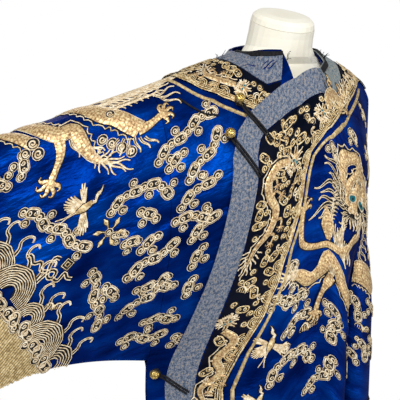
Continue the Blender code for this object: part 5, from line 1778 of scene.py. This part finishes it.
def make_wear():
    """Frayed binding ends, loose threads and tears round the neck."""
    ends = (
        ("binding_end_right", (-0.036, 0.092), right_top, "cord", "black_cord", 7, 0.010),
        ("binding_end_left", (0.030, 0.078), left_top, "cord", "black_cord", 9, 0.012),
        ("trim_thread_right", (-0.108, 0.010), right_top, "faded", "faded_brocade", 6, 0.018),
    )
    for name, place, level, look, slot, count, length in ends:
        for index in range(count):
            spread = 0.004 * math.sin(2.4 * index)
            flat = np.array([place[0] + spread, place[1] + 0.003 * math.cos(1.7 * index)])
            share = np.linspace(0, 1, 9)
            root = lifted(front_face, flat[0], flat[1], float(level(flat[0])))
            way = np.array([0.5 * math.sin(2.1 * index), -0.25, 0.85 + 0.2 * math.cos(index)])
            sway = np.array([0.3 * math.cos(3.1 * index), -0.2, -0.35])
            reach = length * (0.6 + 0.4 * math.sin(1.3 * index) ** 2)
            path = root + np.outer(share, way) * reach + np.outer(share**2, sway) * reach
            cord_tube("robe_" + name + "_" + str(index), path, 0.0004, look, 5)
    tail = spaced([(-0.206, 0.060), (-0.194, 0.078), (-0.180, 0.096), (-0.158, 0.108)], 0.004)
    path = lifted(front_face, tail[:, 0], tail[:, 1], np.full(len(tail), CORD_RADIUS * 1.3))
    cord_tube("robe_button_tail", path, CORD_RADIUS * 1.3, "cord")
    work = Stitches("torn_trim", front_face, right_trim_top, "blue_satin")
    for step in range(4):
        start = np.array([-0.092 + 0.010 * step, 0.052 + 0.009 * step])
        run = np.array([0.028, 0.014]) * (1 - 0.12 * step)
        share = np.linspace(0, 1, 12)
        path = start + np.outer(share, run) + np.outer(np.sin(7 * share + step), (0.0010, -0.0014))
        work.line("blue", path, 0.0024 * (1 - 0.6 * np.abs(2 * share - 1)), 0.0012, 0.0001)
    work.finish()
    work = Stitches("torn_stitches", front_face, left_trim_top, "black_cord")
    for step in range(8):
        x = 0.005 + 0.0006 * step
        start = np.array([x + 0.0014 * math.sin(3 * step), 0.128 + 0.0042 * step])
        work.line("ink", np.array([start, start + (0.0040, 0.0034)]), 0.0013, 0.0010, 0.0001)
    work.finish()


def right_trim_top(x):
    """The outer face of the faded trim on the right of the neck."""
    return np.full(np.shape(x), SNUG_GAP + TRIM_WALL)


def right_top(x):
    """The outer face of the binding on the right of the neck."""
    return 2 * (SNUG_GAP + TRIM_WALL)


def left_trim_top(x):
    """The outer face of the faded trim on the overlap."""
    return overlap_lift(x) + LAYER_GAP + TRIM_WALL


def left_top(x):
    """The outer face of the binding on the overlap."""
    return overlap_lift(x) + LAYER_GAP + 2 * TRIM_WALL + BACK_GAP


def make_form():
    """The form's solids with finer looks."""
    for name, look in (("form_torso", "cotton"), ("form_cap", "cotton"), ("form_pole", "pole"), ("form_base", "enamel")):
        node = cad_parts[name]
        node.data.materials.clear()
        node.data.materials.append(LOOKS[look])


def make_stage():
    """A pale floor, a pale backdrop light, soft lights and the camera."""
    bpy.ops.mesh.primitive_circle_add(vertices=64, radius=1.2, fill_type="NGON", location=(0, 0, -0.0005))
    floor = bpy.context.object
    floor.name = "floor"
    made, tree, shader, where = shader_nodes("floor_pale")
    grain = noise(tree, where, "Object", 30.0)
    tree.links.new(ramp(tree, grain, ((0.3, (0.82, 0.82, 0.81)), (0.7, (0.86, 0.86, 0.85)))), shader.inputs["Base Color"])
    shader.inputs["Roughness"].default_value = 0.8
    floor.data.materials.append(made)
    world = bpy.context.scene.world or bpy.data.worlds.new("studio")
    bpy.context.scene.world = world
    world.use_nodes = True
    sky = world.node_tree
    sky.nodes["Background"].inputs["Color"].default_value = (1.0, 1.0, 1.0, 1.0)
    seen = sky.nodes.new("ShaderNodeLightPath")
    strength = sky.nodes.new("ShaderNodeMapRange")
    strength.inputs["To Min"].default_value = AMBIENT
    strength.inputs["To Max"].default_value = 1.0
    sky.links.new(seen.outputs["Is Camera Ray"], strength.inputs["Value"])
    sky.links.new(strength.outputs["Result"], sky.nodes["Background"].inputs["Strength"])
    bpy.context.scene.view_settings.view_transform = "Standard"
    lights = (
        ("key", (-1.6, -2.1, 2.6), 1.1, 84.0), ("fill", (1.8, -1.8, 1.3), 1.8, 24.0),
        ("back", (0.6, 2.2, 2.4), 1.6, 14.0),
    )
    for name, place, size, power in lights:
        lamp = bpy.data.lights.new(name, "AREA")
        lamp.size = size
        lamp.energy = power
        holder = bpy.data.objects.new(name, lamp)
        holder.location = place
        holder.rotation_euler = (Vector((0, 0, 1.15)) - Vector(place)).to_track_quat("-Z", "Y").to_euler()
        bpy.context.scene.collection.objects.link(holder)
    away = Vector((
        math.sin(CAMERA_TURN) * math.cos(CAMERA_RISE),
        -math.cos(CAMERA_TURN) * math.cos(CAMERA_RISE),
        math.sin(CAMERA_RISE),
    ))
    data = bpy.data.cameras.new("camera")
    data.angle = CAMERA_ANGLE
    camera = bpy.data.objects.new("camera", data)
    camera.location = Vector(CAMERA_TARGET) + away * CAMERA_AWAY
    camera.rotation_euler = (-away).to_track_quat("-Z", "Y").to_euler()
    bpy.context.scene.collection.objects.link(camera)
    bpy.context.scene.camera = camera


make_stage()
make_body_panels()
make_sleeve_right()
make_sleeve_left()
make_left_side()
make_trims()
make_buttons()
make_form()
make_right_embroidery()
make_left_embroidery()
make_band_embroidery()
make_back_embroidery()
make_sleeve_left_embroidery()
make_side_embroidery()
make_wear()
